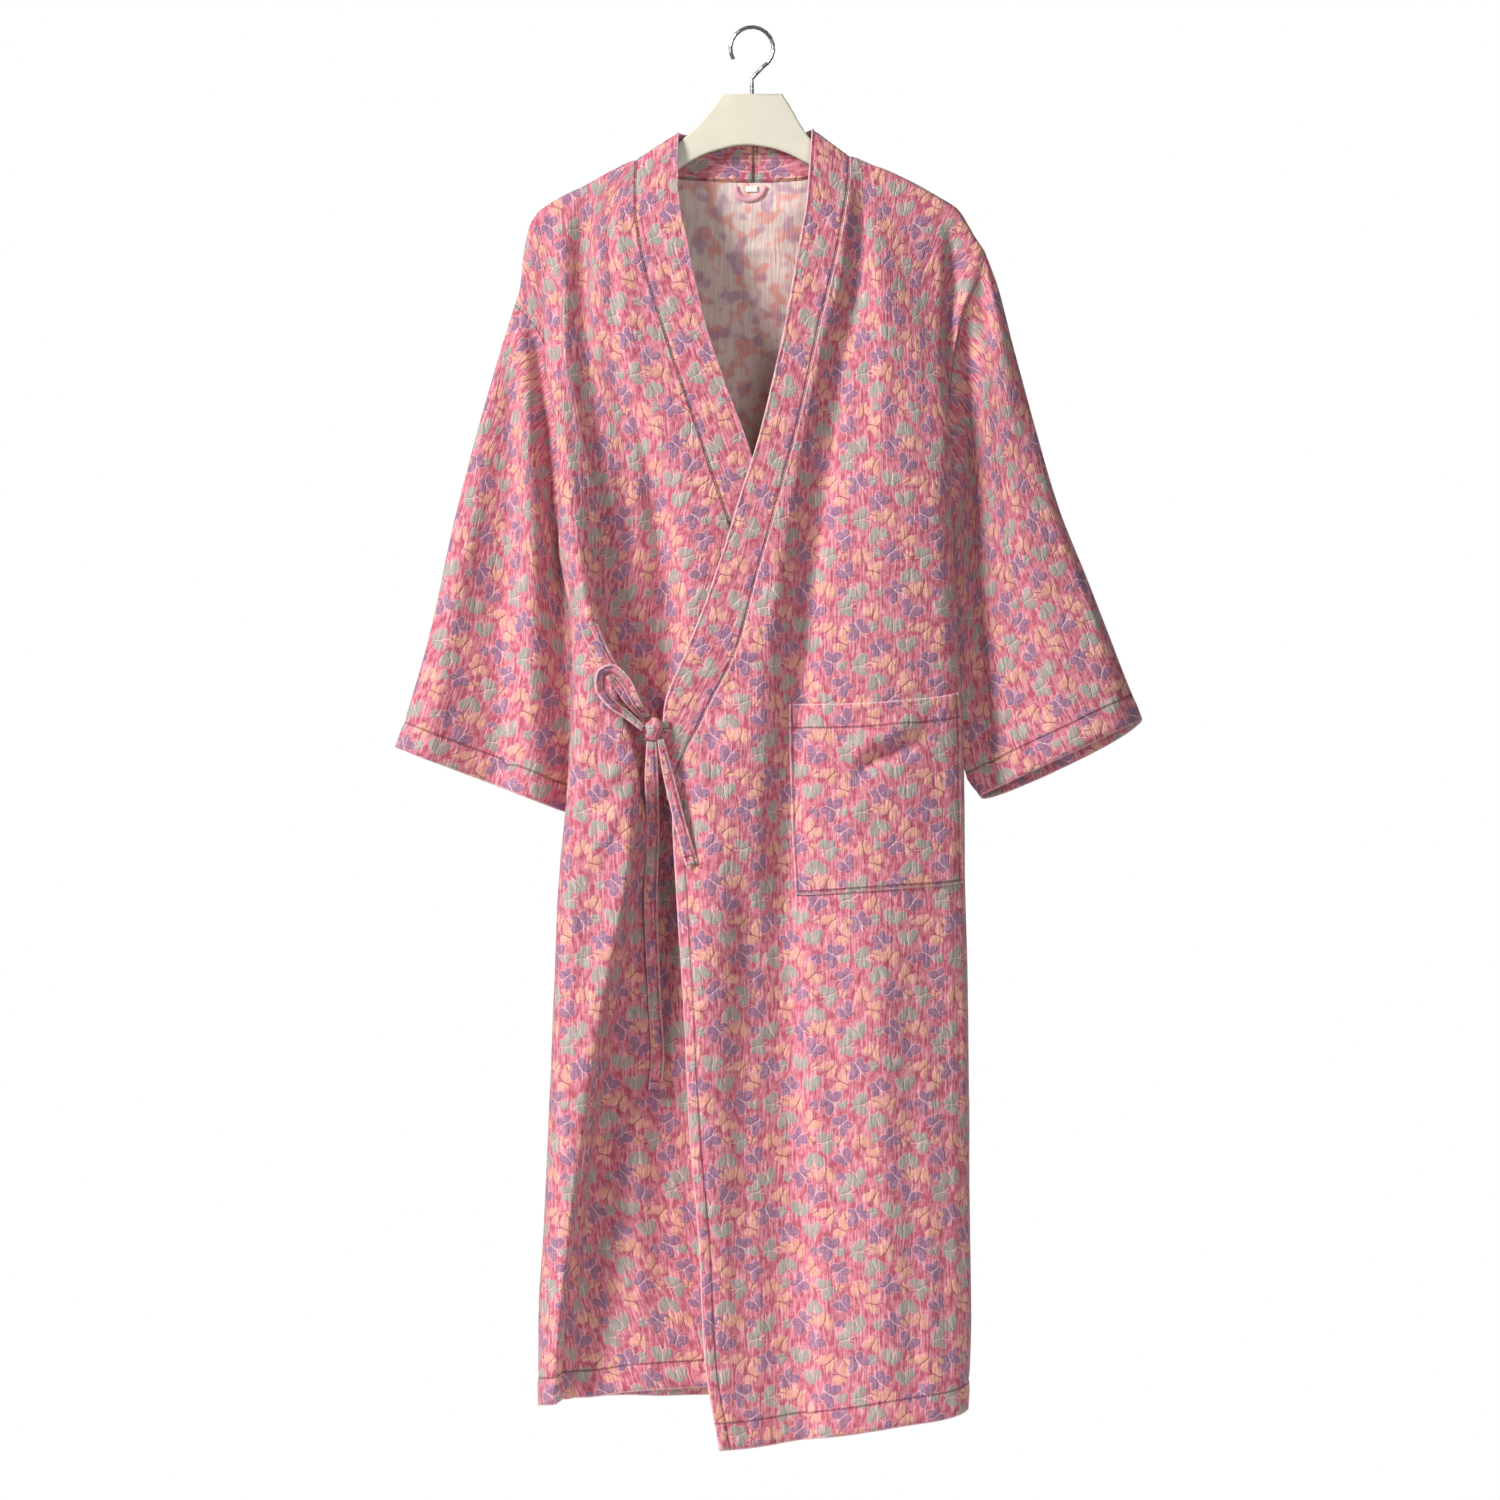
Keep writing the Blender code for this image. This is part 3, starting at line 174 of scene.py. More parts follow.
# A fold reaches its height over this share of its path, from this share of the height at its ends, and
# it fades over so many rows and columns towards a panel's edges
FOLD_END_SHARE, FOLD_END_HEIGHT, FOLD_FADE_ROWS = 0.2, 0.12, 3
OUTER_FOLDS = [dict(zip(FOLD_COLUMNS, row)) for row in (
    ("shoulder_drape", ((92, 150), (84, 300), (62, 420), (42, 500), (31, 570)), 13, 3.5),
    ("knot_drape", ((38, 480), (28, 560), (19, 640), (10, 720), (3, 830)), 15, 7.0),
    ("knot_hollow", ((-30, 610), (-46, 660), (-58, 720)), 10, -3.0),
    ("inner_flute", ((-12, 760), (-10, 900), (-14, 1100), (-8, 1300)), 14, -4.5),
    ("hem_flute", ((52, 900), (52, 1050), (50, 1200), (50, 1320)), 17, 6.0),
    ("side_flute", ((118, 820), (122, 950), (124, 1120), (126, 1320)), 24, 4.5),
    ("side_hollow", ((158, 820), (160, 950), (162, 1120), (164, 1320)), 18, -3.5),
    ("pocket_hollow", ((146, 640), (112, 655), (90, 676)), 9, -2.5),
    ("armhole_drape", ((160, 180), (158, 260), (150, 340), (140, 430)), 10, 2.5),
)]
UNDER_FOLDS = [dict(zip(FOLD_COLUMNS, row)) for row in (
    ("chest_drape", ((-126, 150), (-122, 250), (-112, 350), (-103, 420), (-92, 560)), 12, 3.5),
    ("waist_hollow", ((-84, 380), (-76, 470), (-62, 560)), 11, -2.5),
    ("skirt_hollow", ((-90, 760), (-84, 900), (-92, 1100), (-98, 1290)), 14, -3.0),
    ("skirt_flute", ((-66, 900), (-70, 1050), (-74, 1290)), 12, 2.0),
)]
BACK_FOLDS = [dict(zip(FOLD_COLUMNS, row)) for row in (
    ("yoke_flute_right", ((-96, 150), (-100, 400), (-110, 800), (-118, 1280)), 22, 5.5),
    ("spine_hollow", ((-38, 260), (-42, 500), (-46, 900), (-50, 1280)), 24, -4.5),
    ("spine_flute", ((14, 300), (16, 600), (18, 900), (18, 1280)), 22, 5.0),
    ("yoke_flute_left", ((88, 150), (90, 400), (98, 800), (106, 1280)), 22, 5.5),
    ("side_hollow_left", ((150, 420), (156, 700), (160, 1280)), 18, -4.0),
    ("side_hollow_right", ((-146, 420), (-148, 700), (-160, 1280)), 18, -4.0),
)]

# Each sleeve, from the cap to the cuff. Outer and inner are its edges, depth is half its thickness, back is
# how far its middle lies behind the body's, and tilt is how much lower its back layer hangs
SLEEVE_COLUMNS = ("name", "outer_x", "outer_drop", "inner_x", "inner_drop", "depth", "back", "tilt", "rows")
# The first rings of a sleeve, from the armhole's seam: gap in the depth of the side fold, how far out the
# ring lies there, at the top and under the arm, and how far it has fallen at both ends
ARMHOLE_RINGS = ((0.1, 0.0, 0.0, 0.8, 0.2), (2.4, 0.8, 1.6, 3.4, 4.6))
ARMHOLE_ROWS = (1, 2)
LEAST_RING_STEP = 5.0
# The share of the armhole above the underarm where the side fold stops covering the sleeve's seam
UNDERARM_FADE = 0.3
SLEEVE_LEFT = [dict(zip(SLEEVE_COLUMNS, row)) for row in (
    ("crown", 226, 238, 179, 492, 13, 0, 0, 2),
    ("upper", 240, 292, 181, 520, 15, 1, 0, 2),
    ("bicep", 259, 362, 183, 556, 17, 2, 1, 2),
    ("elbow", 283, 444, 186, 598, 19, 3, 2, 2),
    ("forearm", 311, 513, 189, 640, 21, 4, 4, 2),
    ("above_hem", 340, 588, 197, 684, 23, 4, 7, 1),
    ("cuff", 359, 637, 211, 707, 24, 4, 11, 0),
)]
SLEEVE_RIGHT = [dict(zip(SLEEVE_COLUMNS, row)) for row in (
    ("crown", -226, 279, -171, 492, 13, 0, 0, 2),
    ("upper", -241, 330, -168, 518, 15, 1, 0, 2),
    ("bicep", -256, 384, -163, 548, 17, 2, 0, 2),
    ("elbow", -275, 460, -160, 585, 19, 3, 0, 2),
    ("forearm", -294, 550, -161, 630, 21, 4, 0, 2),
    ("above_hem", -316, 628, -166, 688, 23, 4, -1, 1),
    ("cuff", -328, 663, -173, 722, 23, 4, -2, 0),
)]

# The ties are flat strips. Each point: x, drop, how far the strip's middle stands before the cloth under
# it, and the strip's width there. Tilt turns the strip's width towards the viewer, in degrees
# How far around a place the cloth under a tie is looked at
REACH_ACROSS, REACH_DOWN = 14.0, 24.0
TIES = {
    "tie_side": (0, ((-149, 553, 2.3, 17), (-141, 571, 3, 16), (-127, 595, 4, 14), (-111, 619, 4.5, 12),
                     (-97.5, 636.5, 5, 6))),
    "tie_front": (0, ((-77, 642, 2.3, 12), (-80, 643, 4.5, 10), (-82, 644, 6, 7))),
    "bow_loop": (32, ((-96, 634.8, 12, 6), (-105, 622, 12, 9), (-118, 599, 12, 11), (-129, 591, 12.5, 11),
                      (-138, 596, 12.5, 11), (-139, 606, 12, 11), (-129, 622, 11.5, 10),
                      (-113, 634, 11.5, 8), (-99.2, 646, 12, 5))),
    "tie_tail_long": (0, ((-92, 657.3, 8, 9), (-92, 690, 6, 12.5), (-91, 740, 6, 11), (-93, 800, 7, 12.5),
                          (-90, 890, 7, 12), (-87, 950, 7, 12.5), (-89, 978, 7, 12.5))),
    "tie_tail_short": (0, ((-83.9, 655.6, 9.6, 6), (-76, 690, 8.5, 10), (-65, 735, 5, 11),
                           (-55, 770, 4, 12))),
}
# The knot: its middle, its size, its lean in degrees, its sides and rows, and where its end rings lie
KNOT_CENTRE, KNOT_SIZE, KNOT_TILT = (-90, 646, 8.5), (15, 11, 22), 12.0
KNOT_SIDES, KNOT_ROWS, KNOT_FIRST_RING, KNOT_RINGS_SPAN = 48, 36, 0.04, 0.92
# Its turns of cloth: their height, how many they are, and how far and from where they slant round it
TURN_HEIGHT, TURN_COUNT, TURN_SLANT, TURN_START = 0.11, 2.5, 0.8, 0.6
# The cloth round the knot and up it, in metres
KNOT_CLOTH = (0.04, 0.03)

# The bare label and the hanging loop inside the back neck: x, drop
LABEL_WIDTH, LABEL_HEIGHT, LABEL_WALL = 11.0, 5.5, 0.6
LABEL_CENTRE, LABEL_COLUMNS, LABEL_ROWS = (0, 147), 8, 6
LOOP_PATH = ((-15.5, 144.5), (-13, 152), (-4, 157), (6, 154.5), (13, 144.5))
LOOP_WIDTH, LOOP_WALL, LOOP_ROWS = 5.0, 0.8, 12
NECK_TRIM_GAP = 1.9

# The hanger's plate: half its thickness, the rounding of its edges in so many steps, the steps of its curves,
# the angle in degrees that stays sharp, and its outline, which starts with two square corners: x, drop
PLATE_HALF, PLATE_ROUNDING, PLATE_ROUNDING_STEPS, PLATE_CURVE_STEPS = 4.5, 2.0, 3, 6
PLATE_SHARP_ANGLE, PLATE_SQUARE_CORNERS, PLATE_WELD = 50, 2, 0.00002
HANGER_OUTLINE = ((-28, 60), (28, 60), (38, 76), (46, 90), (54, 101), (72, 114), (99, 128.5), (127, 138.5),
                  (150, 149), (166, 160), (175, 169), (177, 180), (170, 187), (150, 181), (110, 160),
                  (68, 134), (51, 124), (28, 113), (9, 108.5), (-10, 107.5), (-28, 111), (-48, 118),
                  (-68, 130), (-110, 155), (-150, 178), (-172, 191), (-183, 188), (-187, 178), (-180, 168),
                  (-168, 159.5), (-154, 152.5), (-130, 139.5), (-108, 130), (-86, 117.5), (-66, 103.5),
                  (-51, 90), (-38, 75))

# How much finer the shells are than the plain panels, down and across, and how thick they are
FINER_ROWS, FINER_COLUMNS, SLEEVE_FINER, BAND_FINER = 6, 8, 7, 10
CLOTH_WALL, TIE_CLOTH_WALL = 1.5, 2.0
TIE_ROWS, TIE_COLUMNS = 60, 6
# The sleeve's ring below the armhole from which its cloth runs straight to the cuff
SLEEVE_STRAIGHT_RING = 6

# Crinkles in the cloth: width, length and height of each kind, and how its noise is shifted from the last
CRINKLES = ((8.0, 75.0, 0.55), (4.6, 34.0, 0.32), (38.0, 190.0, 1.3))
CRINKLE_SHIFT_ACROSS, CRINKLE_SHIFT_DOWN, CRINKLE_FADE = 7.3, 3.1, 9.0
BAND_CRINKLE_SHARE = 0.5
FAR_FROM_STITCHES = 90.0
NOISE_SIZE = 128
LEAST_LENGTH = 1e-9

# Hems: depth, how much the doubled cloth stands out and how softly, and the stitched groove's width and depth
HEM_DEPTH, HEM_RISE, HEM_SOFTNESS, GROOVE_WIDTH, GROOVE_DEPTH = 25.0, 0.6, 1.2, 2.6, 1.3
LARGEST_POWER = 50.0
# Puckers between a hem's stitches and its edge: width, height, and place and reach as shares of the hem
PUCKER_WIDTH, PUCKER_HEIGHT, PUCKER_PLACE, PUCKER_REACH, PUCKER_SEED = 6.5, 1.1, 0.6, 0.5, 77
RIM_WIDTH, RIM_RISE, RIM_GROOVE_PLACE, RIM_GROOVE_WIDTH, RIM_GROOVE_DEPTH = 1.6, 0.5, 3.4, 1.5, 0.7
# How far from their edges the stitched lines run
FRONT_EDGE_DEPTH, POCKET_HEM, EDGE_STITCH, BAND_SEAM_STITCH = 10.5, 22.0, 3.2, 1.6
TIE_EDGE_STITCH, TIE_END_STITCH = 2.4, 8.0
POCKET_SAG, POCKET_SAG_WAY = 4.0, (0, -0.7, 0.8)
STITCH_PITCH, STITCH_LENGTH, STITCH_WIDTH, STITCH_TAPER = 3.4, 2.3, 0.55, 0.5
STITCH_LIFT = STITCH_WIDTH * 0.1

# Creases given one by one. Each runs through its points: x, drop, height out of the cloth (less than nothing
# for a
# hollow), and how wide its flank is on its left and on its right side, as seen from the front
OUTER_CREASES = (
    ("band_drape", ((88, 113, 0, 12, 9), (86, 173, 5, 24, 9), (79, 236, 7, 28, 9), (62, 293, 8, 30,
     10), (44, 383, 8, 36, 12), (24, 490, 9, 40, 14), (6, 592, 9, 44, 18), (-12, 693, 9, 38, 28), (-30,
     785, 9, 30, 38), (-44, 877, 9, 20, 46), (-48, 987, 9, 16, 50), (-44, 1125, 8, 14, 54), (-37, 1291, 7,
     14, 54))),
    ("armhole_recess", ((180, 176, 0, 4, 10), (181, 205, -6, 4, 13), (180, 250, -8, 4, 14), (179, 300, -7,
     4, 12), (177, 352, 0, 4, 10))),
    ("chest_drape_wide", ((141, 150, 0, 30, 30), (132, 251, 4, 36, 40), (125, 389, 5, 40, 50), (118, 546,
     5, 44, 56), (110, 711, 5, 40, 60), (103, 895, 6, 30, 64), (98, 1079, 6, 26, 68), (98, 1282, 6, 26,
     68))),
    ("side_fall", ((184, 362, 0, 30, 12), (182, 619, -4, 34, 12), (186, 803, -6, 40, 12), (190, 1033, -7,
     44, 12), (191, 1282, -7, 44, 12))),
    ("hem_flute_fine", ((64, 1061, 0, 8, 12), (63, 1162, 2.5, 9, 14), (61, 1282, 3, 10, 16))),
    ("shoulder_pull", ((110, 165, 0, 6, 10), (121, 251, 2.6, 9, 15), (120, 362, 2, 9, 16), (109, 454, 0,
     8, 12))),
    ("knot_pull_low", ((-63, 634, 0, 6, 8), (-50, 674, 4, 9, 12), (-44, 730, 3.5, 11, 14), (-46, 803, 0,
     10, 14))),
    ("knot_pull_high", ((-57, 610, 0, 5, 8), (-29, 590, 3, 8, 10), (0, 564, 2.4, 9, 12), (22, 527, 0, 8,
     10))),
    ("knot_pull_middle", ((-48, 656, 0, 5, 7), (-26, 663, 2.5, 7, 9), (-2, 654, 1.5, 8, 10), (15, 634, 0,
     8, 10))),
    ("side_flute_fine", ((156, 849, 0, 8, 12), (160, 987, 2.4, 10, 16), (162, 1153, 3.2, 11, 18), (164,
     1277, 3.4, 12, 18))),
    ("knee_dip", ((-7, 766, 0, 8, 8), (-6, 831, -2.4, 9, 9), (-2, 895, -1.2, 9, 10), (0, 932, 0, 9, 9))),
    ("pocket_pull", ((160, 634, 0, 6, 5), (136, 645, 4.5, 9, 6), (107, 659, 5, 10, 6), (83, 680, 0, 8,
     6))),
    ("pocket_dent", ((164, 650, 0, 6, 8), (134, 660, -5, 6, 10), (107, 676, -4.5, 6, 10), (88, 700, 0, 6,
     8))),
    ("pocket_low_pull", ((83, 753, 0, 6, 7), (92, 730, 2, 7, 8), (107, 711, 0, 7, 8))),
)
# The long valley beside the band presses the covered front back too
LONG_VALLEY = (
    ("long_valley", ((99, 127, 0, 7, 8), (98, 187, -5, 11, 9), (92, 251, -7, 13, 10), (76, 343, -8, 16,
     11), (63, 433, -8, 19, 12), (51, 505, -9, 23, 13), (42, 595, -9, 26, 14), (36, 684, -10, 30, 15), (32,
     775, -11, 34, 14), (32, 865, -11, 38, 14), (38, 969, -12, 42, 14), (44, 1079, -12, 46, 14), (48, 1190,
     -12, 48, 14), (50, 1286, -12, 48, 14))),
)
UNDER_CREASES = (
    ("side_fold", ((-188, 279, 0, 8, 10), (-175, 380, 7, 8, 14), (-164, 472, 9, 8, 15), (-149, 546, 9,
     8, 15), (-125, 610, 5, 7, 12), (-109, 630, 0, 8, 8))),
    ("waist_recess", ((-140, 279, -3, 16, 10), (-110, 362, -10, 32, 12), (-88, 454, -16, 46, 12), (-79,
     527, -20, 50, 12), (-80, 593, -18, 34, 11), (-86, 632, -6, 12, 12))),
    ("chest_valley", ((-155, 150, 0, 8, 7), (-155, 205, -4, 11, 7), (-153, 279, -5.5, 12, 8), (-145, 352,
     -5, 12, 9), (-136, 417, 0, 10, 9))),
    ("chest_line", ((-129, 141, 0, 6, 5), (-130, 196, -3, 7, 5), (-127, 260, -3.4, 8, 6), (-118, 334, 0,
     8, 8))),
    ("chest_ridge", ((-112, 343, 0, 8, 8), (-107, 417, 1.6, 8, 10), (-102, 509, 2, 8, 10), (-96, 592, 1, 7,
     8), (-92, 625, 0, 7, 8))),
    ("shoulder_ridge", ((-167, 155, 0, 8, 8), (-175, 205, 3, 10, 10), (-173, 279, 3.6, 10, 10), (-162,
     362, 0, 8, 10))),
    ("skirt_recess", ((-90, 667, -4, 6, 16), (-92, 711, -14, 9, 30), (-90, 785, -20, 12, 34), (-85, 858,
     -20, 24, 34), (-74, 969, -19, 42, 34), (-63, 1079, -17, 56, 34), (-55, 1190, -14, 60, 34), (-53, 1268,
     -11, 60, 34))),
    ("strip_wall", ((-105, 790, -4, 4, 12), (-121, 886, -11, 4.5, 22), (-137, 978, -13, 4.5, 26), (-149,
     1070, -13, 4.5, 28), (-158, 1171, -12, 4.5, 30), (-164, 1268, -10, 4.5, 30))),
    ("strip_edge", ((-110, 700, 1, 12, 3), (-114, 770, 5, 14, 3), (-124, 830, 7, 15, 3), (-136, 890, 7,
     16, 3), (-150, 975, 7, 16, 3), (-162, 1060, 6, 15, 3), (-171, 1130, 5, 13, 3), (-178, 1200, 4, 10,
     3), (-183, 1270, 3, 8, 3))),
    ("skirt_flute_fine", ((-103, 969, 0, 9, 12), (-101, 1061, 3, 10, 14), (-98, 1171, 4, 12, 16), (-94,
     1263, 4, 12, 16))),
    ("side_pull_one", ((-142, 661, 0, 6, 7), (-121, 654, 3, 7, 8), (-99, 658, 0, 6, 7))),
    ("side_pull_two", ((-149, 711, 0, 7, 8), (-129, 689, 3.2, 8, 9), (-103, 667, 0, 7, 8))),
    ("side_pull_three", ((-155, 785, 0, 9, 10), (-134, 739, 3.2, 9, 10), (-109, 689, 0, 8, 8))),
    ("side_strip_soft", ((-171, 730, 0, 12, 16), (-166, 822, 3, 14, 18), (-171, 941, 4, 14, 16), (-180,
     1079, 3, 12, 14), (-184, 1263, 3, 10, 12))),
)
BACK_CREASES = (
    ("spine_drape", ((-9, 196, 0, 20, 20), (-15, 343, 4, 30, 18), (-22, 619, 6, 34, 20), (-28, 895, 6, 36,
     22), (-33, 1254, 5, 38, 24))),
    ("left_drape", ((109, 150, 0, 14, 14), (105, 343, 5, 26, 18), (110, 619, 6, 34, 20), (118, 895, 6, 36,
     22), (125, 1254, 5, 38, 24))),
    ("right_drape", ((-129, 150, 0, 14, 14), (-121, 343, 5, 18, 24), (-129, 619, 6, 20, 32), (-136, 895,
     6, 22, 34), (-144, 1254, 5, 24, 36))),
    ("left_hollow", ((48, 362, 0, 12, 12), (50, 573, -7, 20, 14), (52, 849, -9, 24, 16), (50, 1254, -9,
     26, 18))),
    ("right_hollow", ((-77, 362, 0, 12, 12), (-81, 573, -7, 14, 20), (-85, 849, -9, 16, 24), (-88, 1254,
     -9, 18, 26))),
    ("side_hollow", ((164, 435, 0, 12, 12), (167, 711, -6, 22, 14), (171, 987, -8, 24, 14), (173, 1254,
     -8, 24, 14))),
    ("neck_crease", ((-44, 203, 0, 5, 5), (-24, 204, -1.6, 4, 4), (7, 202, -1.8, 4, 4), (31, 204, 0, 4,
     4))),
)
SLEEVE_CREASES = {
    "right": (
    ("middle_valley", ((-221, 288, 0, 8, 7), (-222, 371, -8, 20, 8), (-226, 472, -13, 32, 10), (-231, 582,
     -15, 40, 12), (-235, 688, -15, 44, 14))),
    ("middle_flute", ((-212, 297, 0, 8, 8), (-206, 380, 4, 9, 10), (-202, 509, 5, 11, 11), (-202, 619, 4,
     13, 13), (-202, 711, 4, 14, 14))),
    ("inner_valley", ((-201, 270, -5, 6, 7), (-190, 371, -8, 9, 8), (-180, 472, -8, 11, 9), (-175, 582,
     -7, 12, 10), (-171, 707, -5, 12, 10))),
    ("outer_soft", ((-245, 371, 0, 9, 10), (-267, 490, 3, 12, 12), (-287, 601, 3.4, 14, 14), (-298, 661,
     3, 14, 14))),
    ("cap_pull", ((-221, 262, 0, 6, 8), (-210, 293, 3, 7, 8), (-199, 317, 0, 6, 7))),
    ),
    "left": (
    ("inner_recess", ((188, 205, -4, 9, 12), (193, 288, -9, 10, 13), (197, 389, -9, 11, 12), (202, 509,
     -9, 12, 12), (212, 619, -8, 13, 13), (221, 693, -6, 14, 14))),
    ("cap_pleat", ((205, 189, -2, 4, 5), (205, 216, -5, 5, 6), (213, 260, -5, 6, 7), (221, 306, 0, 6,
     7))),
    ("cap_ridge", ((213, 205, 2, 6, 8), (226, 270, 4, 8, 10), (236, 343, 3, 10, 12), (239, 408, 0, 10,
     12))),
    ("broad_flute", ((239, 371, 0, 14, 18), (256, 472, 4, 20, 24), (276, 573, 5, 24, 28), (294, 656, 5,
     26, 30))),
    ("outer_ridge", ((268, 330, 0, 10, 12), (296, 440, 5, 24, 14), (322, 560, 6, 30, 16), (335, 647,
     5, 30, 16))),
    ),
}
# The creases' scale, how uneven they are and over what length, and where they fade at the edges
CREASE_SCALE, CREASE_UNEVEN, CREASE_UNEVEN_LENGTH, CREASE_LANE, CREASE_SEED = 1.45, 0.45, 60.0, 1.7, 90
CREASE_FADE, CREASE_TOP_FADE = 14.0, 22.0
LEAST_HALF_DEPTH = 2.2

# The seeds of the pieces' crinkles
SEEDS = {"front_left": 11, "front_right": 12, "back": 13, "sleeve_left": 21, "sleeve_right": 22,
         "collar_left": 31, "collar_right": 32}

# The camera looks level along +Y. The view's width is measured at the cloth
CAMERA_SENSOR, CAMERA_DISTANCE, VIEW_PLANE, VIEW_WIDTH = 36.0, 8.0, 0.02, 1.38
VIEW_CENTRE = (-0.0018, -0.665)
FLOOR_SIZE, FLOOR_LEVEL = 1.8, -1.5
# Lights: name, place in metres, size and power
LIGHTS = (("key", (-3.5, -2.5, 1.6), 1.6, 290.0), ("fill", (0.9, -4.4, -0.2), 2.0, 52.0),
          ("back", (1.2, 4.6, 0.8), 2.4, 170.0))
LIGHT_TARGET = (0.0, 0.0, -0.65)
SURROUND_LIGHT = 0.14


def slopes_through(at, values):
    """Slopes of a smooth curve through the rows of values, which never swings past them."""
    steps = np.diff(at)[:, None]
    rises = np.diff(values, axis=0) / steps
    slopes = np.zeros_like(values)
    slopes[0], slopes[-1] = rises[0], rises[-1]
    before, after = rises[:-1], rises[1:]
    same_way = before * after > 0
    weight_before = 2 * steps[1:] + steps[:-1]
    weight_after = steps[1:] + 2 * steps[:-1]
    safe_before = np.where(same_way, before, 1)
    safe_after = np.where(same_way, after, 1)
    mean = (weight_before + weight_after) / (weight_before / safe_before + weight_after / safe_after)
    slopes[1:-1] = np.where(same_way, mean, 0)
    return slopes


def curve_through(at, values, wanted):
    """The smooth curve through rows of values, read at the wanted places along it."""
    at = np.asarray(at, float)
    values = np.asarray(values, float)
    slopes = slopes_through(at, values)
    wanted = np.clip(np.asarray(wanted, float), at[0], at[-1])
    span = np.clip(np.searchsorted(at, wanted, side="right") - 1, 0, len(at) - 2)
    length = (at[span + 1] - at[span])[:, None]
    share = ((wanted - at[span])[:, None]) / length
    start, end = values[span], values[span + 1]
    rise = share * share * (3 - 2 * share)
    leave = share * (1 - share) ** 2
    arrive = share * share * (share - 1)
    return start + (end - start) * rise + length * (slopes[span] * leave + slopes[span + 1] * arrive)


def read_line(line, wanted):
    """A table whose first column orders it, read at one place."""
    table = np.array(line, float)
    row = curve_through(table[:, 0], table[:, 1:], [wanted])[0]
    return row[0] if len(row) == 1 else row


def along(points):
    """Distance passed at each point of a path."""
    steps = np.linalg.norm(np.diff(points, axis=0), axis=1)
    return np.concatenate([[0], np.cumsum(np.maximum(steps, LEAST_STEP))])


def share_of_path(points, share):
    """The point at a share of a path's length."""
    points = np.array(points, float)
    passed = along(points)
    return curve_through(passed, points, [share * passed[-1]])[0]


def armhole_point(side, share, face):
    """A point of an armhole's seam. Face is -1 on the front layer and 1 on the back layer."""
    line = ARMHOLE_LEFT if side == "left" else ARMHOLE_RIGHT
    x, drop = share_of_path(line, share)
    depth = ARMHOLE_HALF_DEPTH * (4 * share * (1 - share)) ** ROUND_EDGE
    return np.array([x, face * max(depth, SEAM_GAP), drop])


def side_point(side, level, face):
    """Where a level ends: on the armhole's seam, or on the side seam below it."""
    if level["armhole"] is not None:
        return armhole_point(side, level["armhole"], face)
    drop = level[side + "_side"]
    inward = -1 if side == "left" else 1
    fold = read_line(FOLD_LEFT if side == "left" else FOLD_RIGHT, drop)
    return np.array([fold + inward * read_line(SIDE_INSET, drop), face * SEAM_GAP, drop])


def side_stations(side, level, face, centre, depth, shares):
    """Points of one level across a side, from its centre end to its side end."""
    shoulder = np.array(SHOULDER_LEFT if side == "left" else SHOULDER_RIGHT, float)
    fold_line = FOLD_LEFT if side == "left" else FOLD_RIGHT
    end = side_point(side, level, face)
    inward = -1 if side == "left" else 1
    shape = level["shape"]
    run = (shoulder[:, 0] - shoulder[0, 0]) / (shoulder[-1, 0] - shoulder[0, 0])
    fall = (shoulder[:, 1] - shoulder[0, 1]) / (shoulder[-1, 1] - shoulder[0, 1])
    slope = np.column_stack([run, fall])
    points = []
    for share in shares:
        sloped = read_line(slope, share)
        hanging = share ** LEVEL_DIP
        drop = centre[2] + (end[2] - centre[2]) * (sloped + (hanging - sloped) * shape)
        x = centre[0] + (end[0] - centre[0]) * share
        points.append([x, face * depth, drop])
    points = np.array(points)
    for station, offset, keep in SIDE_TURN:
        inset = read_line(BACK_INSET, points[station, 2]) if face > 0 else 0
        x = read_line(fold_line, points[station, 2]) + inward * (offset + inset)
        y = end[1] + (face * depth - end[1]) * keep
        points[station, 0] += (x - points[station, 0]) * shape
        points[station, 1] += (y - points[station, 1]) * shape
    points[-1] = end
    run = end + np.array([0, face * min(SEAM_RUN, (depth - abs(end[1])) * SEAM_RUN_SHARE), 0])
    points[-2] += (run - points[-2]) * shape
    return points


def outer_front_net():
    """Levels and stations of the outer front, from its wrapped edge to the left side."""
    pocket, plane_end = POCKET_STATIONS[0], POCKET_PLANE_STATION
    net = []
    for level in LEVELS:
        drop, depth = level["left_centre"], level["front"]
        centre = np.array([read_line(BAND_SEAM_LEFT, drop), -depth, drop])
        row = side_stations("left", level, -1, centre, depth, OUTER_SHARES)
        line = read_line(POCKET_LINE, row[pocket, 2])
        row[pocket, 0] += (line - row[pocket, 0]) * level["shape"]
        for first, last in ((0, pocket), (pocket, plane_end)):
            inner = np.arange(first + 1, last)
            share = (inner - first) / (last - first)
            row[inner, 0] = row[first, 0] + (row[last, 0] - row[first, 0]) * share
        row[0] = centre
        net.append(row)
    return np.array(net)


